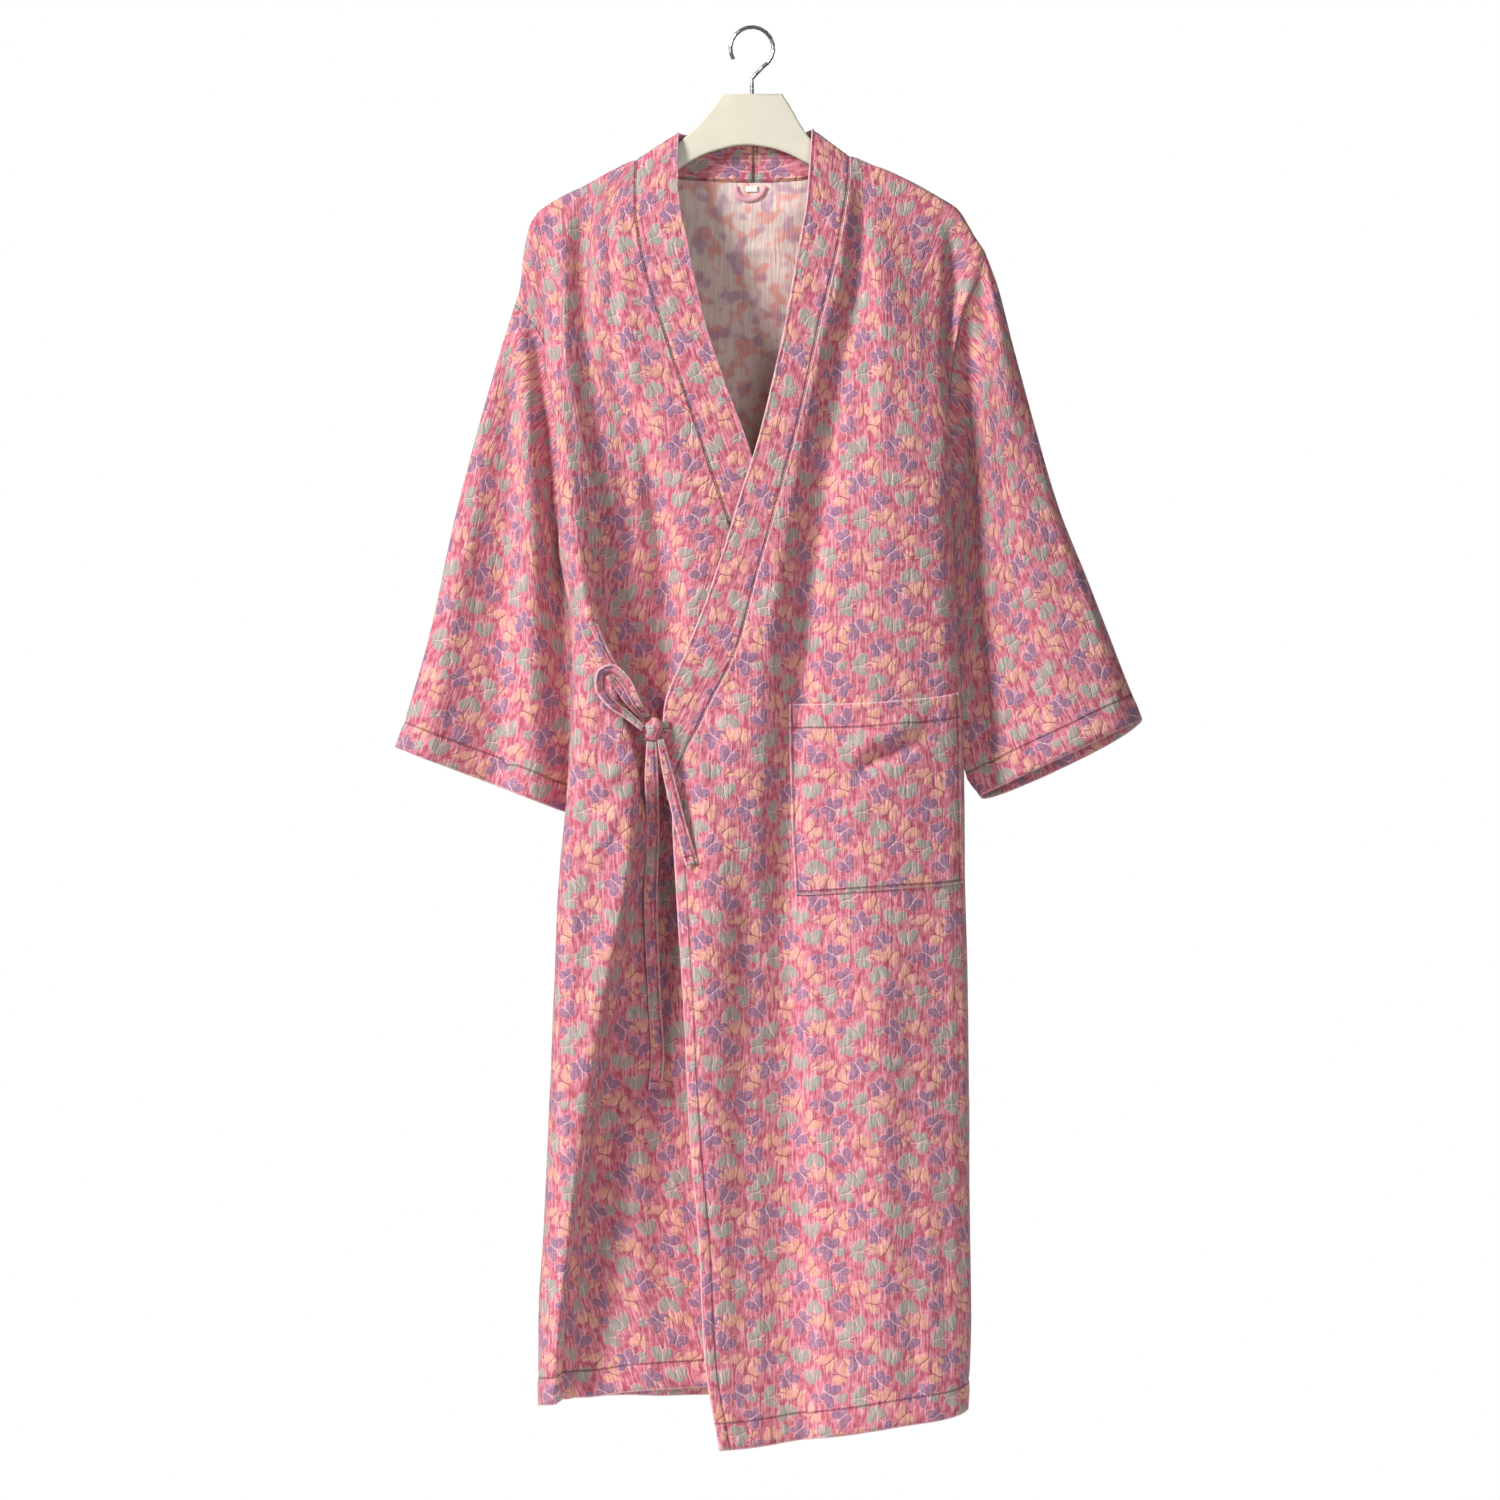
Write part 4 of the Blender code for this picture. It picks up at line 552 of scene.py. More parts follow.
def under_front_net():
    """Levels and stations of the under front, from its hidden edge to the right side."""
    inner, turn, fold, beyond, plane_end = range(PLEAT_STATION - 2, PLEAT_STATION + 3)
    net = []
    for level in LEVELS:
        drop, depth, shape = level["right_centre"], level["front"], level["shape"]
        centre = np.array([read_line(BAND_SEAM_RIGHT, drop), -depth, drop])
        row = side_stations("right", level, -1, centre, depth, UNDER_SHARES)
        fold_drop = row[fold, 2]
        pleat = read_line(PLEAT_LINE, fold_drop)
        back, step = read_line(PLEAT_DEPTH, fold_drop)
        turned_x = pleat + PLEAT_TURN_OFFSET - back * PLEAT_TURN_BACK
        places = {fold: (pleat, step * PLEAT_FOLD_STEP), turn: (turned_x, step * PLEAT_TURN_STEP),
                  inner: (pleat + PLEAT_INNER_OFFSET, step), beyond: ((pleat + row[plane_end, 0]) / 2, 0)}
        for station, (x, recess) in places.items():
            row[station, 0] += (x - row[station, 0]) * shape
            row[station, 1] += recess * shape
        covered = min(1, max(0, (drop - COVERED_FROM) / COVERED_FADE))
        for station in range(inner):
            share = station / inner
            row[station, 0] = centre[0] + (row[inner, 0] - centre[0]) * share
            row[station, 1] = -depth + max(step * shape, COVERED_STEP * shape * covered)
        row[inner:fold, 2] += (row[fold, 2] - row[inner:fold, 2]) * shape
        net.append(row)
    return np.array(net)


def back_net():
    """Levels and stations of the back, from the right side across the neck to the left side."""
    neck = np.array(BACK_NECK, float)
    net = []
    for level in LEVELS:
        depth, shape = level["back"], level["shape"]
        wings = []
        for side, place in (("right", 0), ("left", -1)):
            drop = level[side + "_centre"] if level["armhole"] is not None else level["neck"]
            centre = np.array([neck[place, 0], depth, drop])
            wings.append(side_stations(side, level, 1, centre, depth, WING_SHARES))
        middle = []
        for x, seam_drop, seam_y in neck[1:-1]:
            curve_left = max(0, 1 - (level["neck"] - neck[NECK_CENTRE, 1]) / NECK_CURVE_FADE)
            drop = level["neck"] + (seam_drop - neck[NECK_CENTRE, 1]) * curve_left
            middle.append([x, max(depth, seam_y), drop])
        net.append(np.vstack([wings[0][::-1], middle, wings[1]]))
    return np.array(net)


def grid_from(net, columns, finer_rows=1, finer_columns=1):
    """Points of a panel: rows between its levels and columns between its stations."""
    levels, stations = net.shape[:2]
    steps = np.abs(np.diff(net[:, :, 2].mean(axis=1)))
    places = np.concatenate([[0], np.cumsum(np.maximum(steps, LEAST_LEVEL_STEP))])
    wanted = [places[0]]
    for level in range(levels - 1):
        count = LEVELS[level]["rows"] * finer_rows
        wanted += list(np.linspace(places[level], places[level + 1], count + 1)[1:])
    rows = curve_through(places, net.reshape(levels, -1), wanted).reshape(len(wanted), stations, 3)
    grid = []
    for row in rows:
        passed = along(row)
        across = [0.0]
        for station, count in enumerate(columns):
            steps = np.linspace(passed[station], passed[station + 1], count * finer_columns + 1)
            across += list(steps[1:])
        grid.append(curve_through(passed, row, across))
    return np.array(grid)


def legs_of(path, grid):
    """Each leg of a path in the front plane, with each grid point's share of it and its way off it."""
    for begin, end in zip(path[:-1], path[1:]):
        run = end[:2] - begin[:2]
        offset = grid[:, :, (0, 2)] - begin[:2]
        share = np.clip((offset @ run) / (run @ run), 0, 1)
        yield begin, end, run, share, offset - share[..., None] * run


def raise_folds(grid, folds, face, first, last, finer_rows=1, finer_columns=1):
    """Moves the columns from first to last out of the cloth by the height of each fold."""
    part = grid[:, first:last]
    rise = np.zeros(part.shape[:2])
    for fold in folds:
        nearest = np.full(rise.shape, np.inf)
        passed = np.zeros(rise.shape)
        start = 0.0
        for _, _, run, share, away in legs_of(np.array(fold["path"], float), part):
            gap = np.linalg.norm(away, axis=2)
            passed = np.where(gap < nearest, start + share * np.linalg.norm(run), passed)
            nearest = np.minimum(nearest, gap)
            start += np.linalg.norm(run)
        from_end = np.minimum(passed / start, 1 - passed / start)
        ends = np.minimum(1, from_end / FOLD_END_SHARE + FOLD_END_HEIGHT)
        rise += fold["height"] * np.exp(-(nearest / fold["width"]) ** 2) * ends
    columns = np.arange(part.shape[1])
    from_side = np.minimum(columns, len(columns) - 1 - columns) / finer_columns
    rise *= np.minimum(1, from_side / FOLD_FADE_ROWS)[None, :]
    rise *= np.minimum(1, np.arange(part.shape[0]) / finer_rows / FOLD_FADE_ROWS)[:, None]
    part[:, :, 1] += face * rise


def armhole_shapes(finer=1):
    """How far each row beside the armhole has left the shoulder's slope."""
    shapes = [LEVELS[0]["shape"]]
    for level, below in zip(LEVELS[:ARM_LEVELS - 1], LEVELS[1:ARM_LEVELS]):
        shapes += list(np.linspace(level["shape"], below["shape"], level["rows"] * finer + 1)[1:])
    return np.array(shapes)


def sleeve_grid(side, front_edge, back_edge, table, edge_finer=1, ring_finer=1):
    """Rings of a sleeve, from the armhole's seam to the cuff."""
    outward = 1 if side == "left" else -1
    loop = np.vstack([front_edge, back_edge[-2:0:-1]])
    loop[[0, len(front_edge) - 1], 1] = 0
    half = len(front_edge) - 1
    passed = along(loop[:, [0, 2]])
    down = np.where(np.arange(len(loop)) <= half, passed, 2 * passed[half] - passed) / passed[half]
    down = np.clip(down, 0, 1)
    face = np.where(np.arange(len(loop)) <= half, -1.0, 1.0)
    face[[0, half]] = 0
    shapes = armhole_shapes(edge_finer)
    fading = np.clip((1 - down) / UNDERARM_FADE, 0, 1)
    hidden = np.concatenate([shapes, shapes[-2:0:-1]]) * fading
    inward = np.minimum(1, np.abs(loop[:, 1]) / ARMHOLE_HALF_DEPTH) * face
    shown = 1 - hidden
    under = down > 0.5
    rings = []
    for gap, out, top_out, under_out, fall in ARMHOLE_RINGS:
        ring = loop.copy()
        ring[:, 1] -= inward * gap * hidden
        ring[:, 0] += outward * (out * hidden + np.where(under, under_out, top_out) * shown)
        ring[:, 2] += fall * shown
        rings.append(ring)
    for row in table:
        outer = np.array([row["outer_x"], row["outer_drop"]], float)
        inner = np.array([row["inner_x"], row["inner_drop"]], float)
        ring = np.zeros_like(loop)
        middle = outer + (inner - outer) * down[:, None]
        round_off = np.clip(4 * down * (1 - down), 0, 1) ** ROUND_EDGE
        ring[:, 0] = middle[:, 0]
        ring[:, 1] = row["back"] + face * row["depth"] * round_off
        ring[:, 2] = middle[:, 1] + np.clip(face, 0, 1) * row["tilt"] * round_off
        rings.append(ring)
    rings = np.array(rings)
    middles = rings.mean(axis=1)
    steps = np.maximum(np.linalg.norm(np.diff(middles, axis=0), axis=1), LEAST_RING_STEP)
    places = np.concatenate([[0], np.cumsum(steps)])
    counts = [*ARMHOLE_ROWS] + [row["rows"] for row in table[:-1]]
    wanted = [0.0]
    for span, count in enumerate(counts):
        wanted += list(np.linspace(places[span], places[span + 1], count * ring_finer + 1)[1:])
    grid = curve_through(places, rings.reshape(len(rings), -1), wanted)
    return grid.reshape(len(wanted), len(loop), 3)


def band_grid(neck_seam, front_seam, edge_line, columns):
    """Rows of a neckband from the centre of the back, over the shoulder and down the front."""
    neck = np.array(BACK_NECK, float)
    edge = np.array(BACK_BAND_EDGE, float)[:, [0, 2, 1]]
    pairs = [(point, curve_through(neck[:, 0], edge, [point[0]])[0]) for point in neck_seam]
    for point in front_seam:
        drop = point[2] - read_line(BAND_RISE, point[2])
        pairs.append((point, np.array([read_line(edge_line, drop), point[1] - BAND_LIFT, drop])))
    shares = np.linspace(0, 1, columns + 1)
    grid = []
    for seam, free in pairs:
        across = free - seam
        start = seam + across / np.linalg.norm(across) * SEAM_GAP
        grid.append([start + (free - start) * share for share in shares])
    return np.array(grid)


def to_metres(points):
    """Points as Blender has them: x to the left, y to the back, z up."""
    points = np.asarray(points, float)
    return np.stack([points[..., 0], points[..., 1], -points[..., 2]], axis=-1) * MM


def cloth_front(grids, x, drop):
    """The foremost y of the cloth close to a place on the robe's front."""
    points = np.vstack([grid.reshape(-1, 3) for grid in grids])
    near = (np.abs(points[:, 0] - x) < REACH_ACROSS) & (np.abs(points[:, 2] - drop) < REACH_DOWN)
    return points[near, 1].min()


def strip_grid(points, tilt, grids, rows, columns):
    """A flat strip along a path in front of the cloth. Tilt turns its width out of the front plane."""
    path = [(x, cloth_front(grids, x, drop) - before, drop, width) for x, drop, before, width in points]
    path = np.array(path, float)
    passed = along(path[:, :3])
    path = curve_through(passed, path, np.linspace(0, passed[-1], rows + 1))
    middle, width = path[:, :3], path[:, 3:]
    run = np.gradient(middle, axis=0)
    run /= np.linalg.norm(run, axis=1, keepdims=True)
    across = np.cross(run, np.array([0.0, -1.0, 0.0]))
    across /= np.linalg.norm(across, axis=1, keepdims=True)
    outwards = np.cross(run, across)
    angle = math.radians(tilt)
    half = (across * math.cos(angle) + outwards * math.sin(angle)) * width / 2
    return np.stack([middle + half * share for share in np.linspace(-1, 1, columns + 1)], axis=1)


def loop_grid(back_y):
    """The hanging loop: a narrow strip that hangs flat inside the back neck."""
    path = np.array([(x, back_y - NECK_TRIM_GAP, drop) for x, drop in LOOP_PATH], float)
    passed = along(path)
    middle = curve_through(passed, path, np.linspace(0, passed[-1], LOOP_ROWS + 1))
    run = np.gradient(middle, axis=0)
    across = np.cross(run, np.array([0.0, 1.0, 0.0]))
    half = across / np.linalg.norm(across, axis=1, keepdims=True) * LOOP_WIDTH / 2
    return np.stack([middle - half, middle + half], axis=1)


def rows_before(name):
    """How many rows of a panel lie above a level."""
    index = [level["name"] for level in LEVELS].index(name)
    return sum(level["rows"] for level in LEVELS[:index])


def lattice_noise(across, down, seed):
    """Smooth noise between 0 and 1 on a lattice of unit cells."""
    table = np.random.default_rng(seed).random((NOISE_SIZE, NOISE_SIZE))
    column, row = np.floor(across).astype(int), np.floor(down).astype(int)
    x, y = across - column, down - row
    x, y = x * x * (3 - 2 * x), y * y * (3 - 2 * y)
    left, right = column % NOISE_SIZE, (column + 1) % NOISE_SIZE
    top, bottom = row % NOISE_SIZE, (row + 1) % NOISE_SIZE
    above = table[top, left] * (1 - x) + table[top, right] * x
    below = table[bottom, left] * (1 - x) + table[bottom, right] * x
    return above * (1 - y) + below * y


def distances(grid, axis):
    """Distance passed at each point of a grid, down its columns or across its rows."""
    steps = np.linalg.norm(np.diff(grid, axis=axis), axis=2)
    passed = np.cumsum(steps, axis=axis)
    return np.concatenate([np.zeros_like(np.take(passed, [0], axis=axis)), passed], axis=axis)


def ringed(grid, closed):
    """A closed grid with its first column repeated after its last, or an open grid as it is."""
    return np.concatenate([grid, grid[:, :1]], axis=1) if closed else grid


def normals_of(grid, closed=False):
    """Unit normals of a grid's surface, all on the same side of it."""
    if closed:
        wrapped = np.concatenate([grid[:, -1:], grid, grid[:, :1]], axis=1)
        across = np.gradient(wrapped, axis=1)[:, 1:-1]
    else:
        across = np.gradient(grid, axis=1)
    normals = np.cross(across, np.gradient(grid, axis=0))
    return normals / np.maximum(np.linalg.norm(normals, axis=2, keepdims=True), LEAST_LENGTH)


def crinkled(grid, outward, seed, amount=1.0, closed=False, hem=0.0):
    """The grid with crinkles, soft unevenness and a hem at its lower edge, moved along its normals."""
    down = distances(grid, 0)
    across = distances(ringed(grid, closed), 1)
    total = across[:, -1:]
    if closed:
        across = across[:, :-1]
        across, from_edge = np.minimum(across, total - across), down
    else:
        from_edge = np.minimum(down, np.minimum(across, total - across))
    height = np.zeros(grid.shape[:2])
    for place, (width, length, tall) in enumerate(CRINKLES):
        noise = lattice_noise(across / width + CRINKLE_SHIFT_ACROSS * place + seed,
                              down / length + CRINKLE_SHIFT_DOWN * seed, seed * 10 + place)
        height += tall * (noise - 0.5)
    height *= amount
    if hem:
        from_bottom = down[-1:] - down
        inside = 1 / (1 + np.exp(np.minimum((from_bottom - hem) / HEM_SOFTNESS, LARGEST_POWER)))
        groove = np.exp(-((from_bottom - hem) / GROOVE_WIDTH) ** 2)
        lane = np.full_like(across, seed)
        pucker = lattice_noise(across / PUCKER_WIDTH + seed, lane, seed + PUCKER_SEED) - 0.5
        near = np.exp(-((from_bottom - hem * PUCKER_PLACE) / (hem * PUCKER_REACH)) ** 2)
        height += HEM_RISE * inside - GROOVE_DEPTH * groove + PUCKER_HEIGHT * pucker * near
    height *= np.clip(from_edge / CRINKLE_FADE, 0, 1)
    return grid + normals_of(grid, closed) * (outward * height)[:, :, None]


def crease(grid, creases, face, fade_first=False):
    """Moves a grid's points out of the front or back plane, by the height of each listed crease."""
    rise = np.zeros(grid.shape[:2])
    for number, (_, rows) in enumerate(creases):
        path = np.array(rows, float)
        nearest = np.full(rise.shape, np.inf)
        found = np.zeros((3, *rise.shape))
        passed = along(path[:, :2])
        for place, (begin, end, run, share, away) in enumerate(legs_of(path, grid)):
            gap = np.linalg.norm(away, axis=2)
            height, left, right = (begin[2:, None, None] + (end[2:] - begin[2:])[:, None, None] * share)
            width = np.where(away[:, :, 0] * run[1] - away[:, :, 1] * run[0] < 0, left, right)
            here = passed[place] + share * (passed[place + 1] - passed[place])
            found = np.where(gap < nearest, np.stack([height, width, here]), found)
            nearest = np.minimum(nearest, gap)
        height, width, here = found
        lane = np.full(rise.shape, number * CREASE_LANE)
        noise = lattice_noise(here / CREASE_UNEVEN_LENGTH, lane, CREASE_SEED + number)
        uneven = 1 + CREASE_UNEVEN * (noise - 0.5)
        rise += CREASE_SCALE * height * uneven * np.exp(-(nearest / width) ** 2)
    across = distances(grid, 1)
    from_side = across[:, -1:] - across
    if fade_first:
        from_side = np.minimum(from_side, across)
    rise *= np.clip(from_side / CREASE_FADE, 0, 1) * np.clip(distances(grid, 0) / CREASE_TOP_FADE, 0, 1)
    grid[:, :, 1] += face * rise


def walls_apart(grid, arm, before):
    """Keeps the front wall of a flattened tube in front of its back wall, where creases would cross them."""
    front, back = grid[:, 1:arm - 1, 1], grid[:, :arm - 1:-1, 1]
    least = np.minimum((before[:, :arm - 1:-1, 1] - before[:, 1:arm - 1, 1]) / 2, LEAST_HALF_DEPTH)
    middle, half = (front + back) / 2, np.maximum((back - front) / 2, least)
    grid[:, 1:arm - 1, 1] = middle - half
    grid[:, :arm - 1:-1, 1] = middle + half


def edge_distance(grid, edge):
    """Distance of each point of a grid from one edge: top, bottom, first or last."""
    passed = distances(grid, 0 if edge in ("top", "bottom") else 1)
    if edge == "bottom":
        return passed[-1:] - passed
    return passed[:, -1:] - passed if edge == "last" else passed


def rimmed(grid, outward, edges, groove=RIM_GROOVE_PLACE, depth=RIM_GROOVE_DEPTH):
    """The grid with a rolled rim along some edges, and the groove that its stitches press in the cloth."""
    height = np.zeros(grid.shape[:2])
    for edge in edges:
        away = edge_distance(grid, edge)
        height += RIM_RISE * np.exp(-((away - RIM_WIDTH) / RIM_WIDTH) ** 2)
        height -= depth * np.exp(-((away - groove) / RIM_GROOVE_WIDTH) ** 2)
    return grid + normals_of(grid) * (outward * height)[:, :, None]


def on_show_side(grid, outward, wall=CLOTH_WALL, closed=False):
    """The show side of a shell whose middle is the grid."""
    return grid + normals_of(grid, closed) * outward * (wall / 2 + STITCH_LIFT)


def hanging_uv(grid, column):
    """Cloth coordinates of a hanging panel, in metres: across, from one of its columns, and down."""
    across = distances(grid, 1)
    way = 1.0 if grid[0, -1, 0] > grid[0, 0, 0] else -1.0
    place = grid[:, column, 0][:, None] + way * (across - across[:, column][:, None])
    return np.stack([place, -grid[:, :, 2]], axis=2) * MM


def strip_uv(grid):
    """Cloth coordinates of a strip, in metres: across and along it."""
    middle = grid[:, grid.shape[1] // 2]
    run = np.repeat(along(middle)[:, None], grid.shape[1], axis=1)
    return np.stack([distances(grid, 1), -run], axis=2) * MM


def sleeve_uv(grid, side):
    """Cloth coordinates of a sleeve, in metres: round it from the outer fold, and along its length."""
    ring = ringed(grid, True)
    round_it = distances(ring, 1)
    run = grid[-1].mean(axis=0) - grid[SLEEVE_STRAIGHT_RING].mean(axis=0)
    run[1] = 0
    run /= np.linalg.norm(run)
    along_it = (ring - ring[0, 0]) @ run
    sign = 1.0 if side == "left" else -1.0
    return np.stack([-sign * round_it, -along_it], axis=2) * MM


def stitch_places(grid, closed=False, **lines):
    """How far each point lies from the stitches that run along its side edges and its end edges."""
    ring = ringed(grid, closed)
    places = []
    for edges in (("first", "last"), ("top", "bottom")):
        away = np.full(ring.shape[:2], FAR_FROM_STITCHES)
        nearest = np.full(ring.shape[:2], np.inf)
        for edge in edges:
            passed = edge_distance(ring, edge)
            if edge in lines:
                away = np.where(passed < nearest, passed - lines[edge], away)
            nearest = np.minimum(nearest, passed)
        places.append(away)
    return np.stack(places, axis=2) * MM


def rim_places(grid, closed, edges):
    """How far each point lies from the nearest of some edges."""
    ring = ringed(grid, closed)
    away = np.full(ring.shape[:2], FAR_FROM_STITCHES)
    for edge in edges:
        away = np.minimum(away, edge_distance(ring, edge))
    return np.stack([away, away * 0], axis=2) * MM


def add_object(name, data):
    """A new object of the scene."""
    made = bpy.data.objects.new(name, data)
    bpy.context.scene.collection.objects.link(made)
    return made


def turn_in_hem(mesh, grid, last, depth):
    """Gives a turned-in hem the third material, the printed side, on both sides of its cloth."""
    down = distances(grid, 0)
    from_bottom = down[-1] - (down[:-1] + down[1:]) / 2
    inside = from_bottom[:, :last] < depth
    mesh.polygons.foreach_set("material_index", np.where(inside, 2, 0).ravel().astype(np.int32))


# The corners of a grid's cell: rows down and columns across
CORNERS = ((0, 0), (1, 0), (1, 1), (0, 1))


def sheet_mesh(name, grid, uv, outward, materials, wall=CLOTH_WALL, closed=False, seam=None, stitches=None,
               rims=()):
    """A thin shell on a grid: the first material shows, the next lies inside, a third is a hem's inside.

    A closed grid's cloth coordinates jump by a whole turn at the column of its seam.
    """
    rows, columns = grid.shape[:2]
    if stitches is None:
        stitches = stitch_places(grid, closed)
    # Distance from the edges listed in rims, which the printed cloth's shader turns into a painted highlight
    edges = rim_places(grid, closed, rims)
    last = columns if closed else columns - 1
    row, column = np.meshgrid(np.arange(rows - 1), np.arange(last), indexing="ij")
    row, column = row.ravel(), column.ravel()
    corners = np.stack([(row + down) * columns + (column + right) % columns for down, right in CORNERS],
                       axis=1)
    places, threads, borders = (
        np.stack([layer[row + down, column + right] for down, right in CORNERS], axis=1)
        for layer in (uv, stitches, edges))
    if seam is not None:
        whole = uv[:, -1:, 0] - uv[:, :1, 0]
        back = column >= seam
        for corner, (down, _) in enumerate(CORNERS):
            places[back, corner, 0] -= whole[row[back] + down, 0]
    if outward < 0:
        corners, places, threads, borders = (part[:, ::-1] for part in (corners, places, threads, borders))
    mesh = bpy.data.meshes.new(name)
    mesh.from_pydata(to_metres(grid).reshape(-1, 3).tolist(), [], corners.tolist())
    for layer_name, values in (("cloth", places), ("stitches", threads), ("rims", borders)):
        layer = mesh.uv_layers.new(name=layer_name)
        layer.data.foreach_set("uv", values.reshape(-1).astype(np.float32))
    mesh.shade_smooth()
    for material in materials:
        mesh.materials.append(material)
    if len(materials) > 2:
        turn_in_hem(mesh, grid, last, HEM_DEPTH)
    piece = add_object(name, mesh)
    solid = piece.modifiers.new("wall", "SOLIDIFY")
    solid.thickness = wall * MM
    solid.offset = 0
    solid.use_rim = True
    solid.material_offset = 1 if len(materials) > 1 else 0
    return piece


def line_at(surface, edge, distance):
    """The line that runs at a distance inside one edge of a grid: top, bottom, first or last."""
    lines = surface.transpose(1, 0, 2) if edge in ("top", "bottom") else surface
    if edge in ("bottom", "last"):
        lines = lines[:, ::-1]
    points = []
    for line in lines:
        passed = along(line)
        points.append([np.interp(distance, passed, line[:, axis]) for axis in range(3)])
    return np.array(points)


def stitch_mesh(name, lines, material):
    """Short stitches of thread along lines on the cloth, in one mesh."""
    vertices, faces = [], []
    for line in lines:
        passed = along(line)
        for start in np.arange(STITCH_PITCH, passed[-1] - STITCH_PITCH, STITCH_PITCH):
            first, last = (np.array([np.interp(at, passed, line[:, axis]) for axis in range(3)])
                           for at in (start, start + STITCH_LENGTH))
            run = last - first
            run /= max(np.linalg.norm(run), LEAST_LENGTH)
            side = np.cross(run, (0.0, 1.0, 0.0))
            side /= max(np.linalg.norm(side), LEAST_LENGTH)
            depth = np.cross(run, side)
            base = len(vertices)
            taper = run * STITCH_TAPER
            for middle, share in ((first, STITCH_TAPER), (first + taper, 1), (last - taper, 1),
                                  (last, STITCH_TAPER)):
                vertices += [middle + way * STITCH_WIDTH / 2 * share for way in (side, depth, -side, -depth)]
            for ring in range(base, base + 12, 4):
                faces += [(ring + corner, ring + (corner + 1) % 4, ring + 4 + (corner + 1) % 4,
                           ring + 4 + corner) for corner in range(4)]
            faces += [(base + 3, base + 2, base + 1, base), (base + 12, base + 13, base + 14, base + 15)]
    mesh = bpy.data.meshes.new(name)
    mesh.from_pydata(to_metres(np.array(vertices)).tolist(), [], faces)
    mesh.shade_smooth()
    mesh.materials.append(material)
    return add_object(name, mesh)


class Shading:
    """A short hand for building a material's nodes."""

    def __init__(self, name):
        self.material = bpy.data.materials.new(name)
        self.material.use_nodes = True
        self.tree = self.material.node_tree
        self.shader = self.tree.nodes["Principled BSDF"]

    def node(self, kind, **settings):
        """A new node with its settings."""
        made = self.tree.nodes.new(kind)
        for key, value in settings.items():
            setattr(made, key, value)
        return made

    def put(self, socket, value):
        """Links or sets a socket."""
        if isinstance(value, bpy.types.NodeSocket):
            self.tree.links.new(value, socket)
        else:
            socket.default_value = value

    def math(self, operation, *values, clamp=False):
        """The result of a math node."""
        made = self.node("ShaderNodeMath", operation=operation, use_clamp=clamp)
        for socket, value in zip(made.inputs, values):
            self.put(socket, value)
        return made.outputs[0]

    def vector(self, x, y, z=0.0):
        """A vector made of three numbers."""
        made = self.node("ShaderNodeCombineXYZ")
        for socket, value in zip(made.inputs, (x, y, z)):
            self.put(socket, value)
        return made.outputs[0]

    def mix(self, factor, first, second):
        """A blend of two colours."""
        made = self.node("ShaderNodeMix", data_type="RGBA")
        for socket, value in zip((made.inputs[0], made.inputs[6], made.inputs[7]), (factor, first, second)):
            self.put(socket, value)
        return made.outputs[2]

    def noise(self, vector, scale, detail=2.0):
        """Noise between 0 and 1."""
        made = self.node("ShaderNodeTexNoise", noise_dimensions="2D")
        self.put(made.inputs["Vector"], vector)
        self.put(made.inputs["Scale"], scale)
        self.put(made.inputs["Detail"], detail)
        return made.outputs[0]

    def place_on(self, uv_map):
        """The two coordinates of a UV map, in metres."""
        place = self.node("ShaderNodeUVMap", uv_map=uv_map)
        parts = self.node("ShaderNodeSeparateXYZ")
        self.put(parts.inputs[0], place.outputs[0])
        return parts.outputs[0], parts.outputs[1]

    def scaled(self, colour, factor):
        """A colour made lighter or darker."""
        made = self.node("ShaderNodeVectorMath", operation="SCALE")
        self.put(made.inputs[0], colour)
        self.put(made.inputs["Scale"], factor)
        return made.outputs[0]

    def range(self, value, low, high, to_low=0.0, to_high=1.0, smooth=False):
        """A value mapped from one range to another and held inside it."""
        made = self.node("ShaderNodeMapRange", interpolation_type="SMOOTHSTEP" if smooth else "LINEAR")
        for socket, number in zip(made.inputs, (value, low, high, to_low, to_high)):
            self.put(socket, number)
        return made.outputs[0]

    def table(self, place, rows):
        """Four numbers of the row that a place between 0 and 1 falls in."""
        made = self.node("ShaderNodeValToRGB")
        made.color_ramp.interpolation = "CONSTANT"
        stops = made.color_ramp.elements
        while len(stops) < len(rows):
            stops.new(0.5)
        for number, (stop, row) in enumerate(zip(stops, rows)):
            stop.position = number / len(rows)
            stop.color = row
        self.put(made.inputs[0], place)
        parts = self.node("ShaderNodeSeparateColor")
        self.put(parts.inputs[0], made.outputs[0])
        return [*parts.outputs, made.outputs[1]]


# The repeat of the cloth's pattern, across and down, in millimetres, and its cells
REPEAT = (89.0, 134.0)
CELLS = (3, 4)
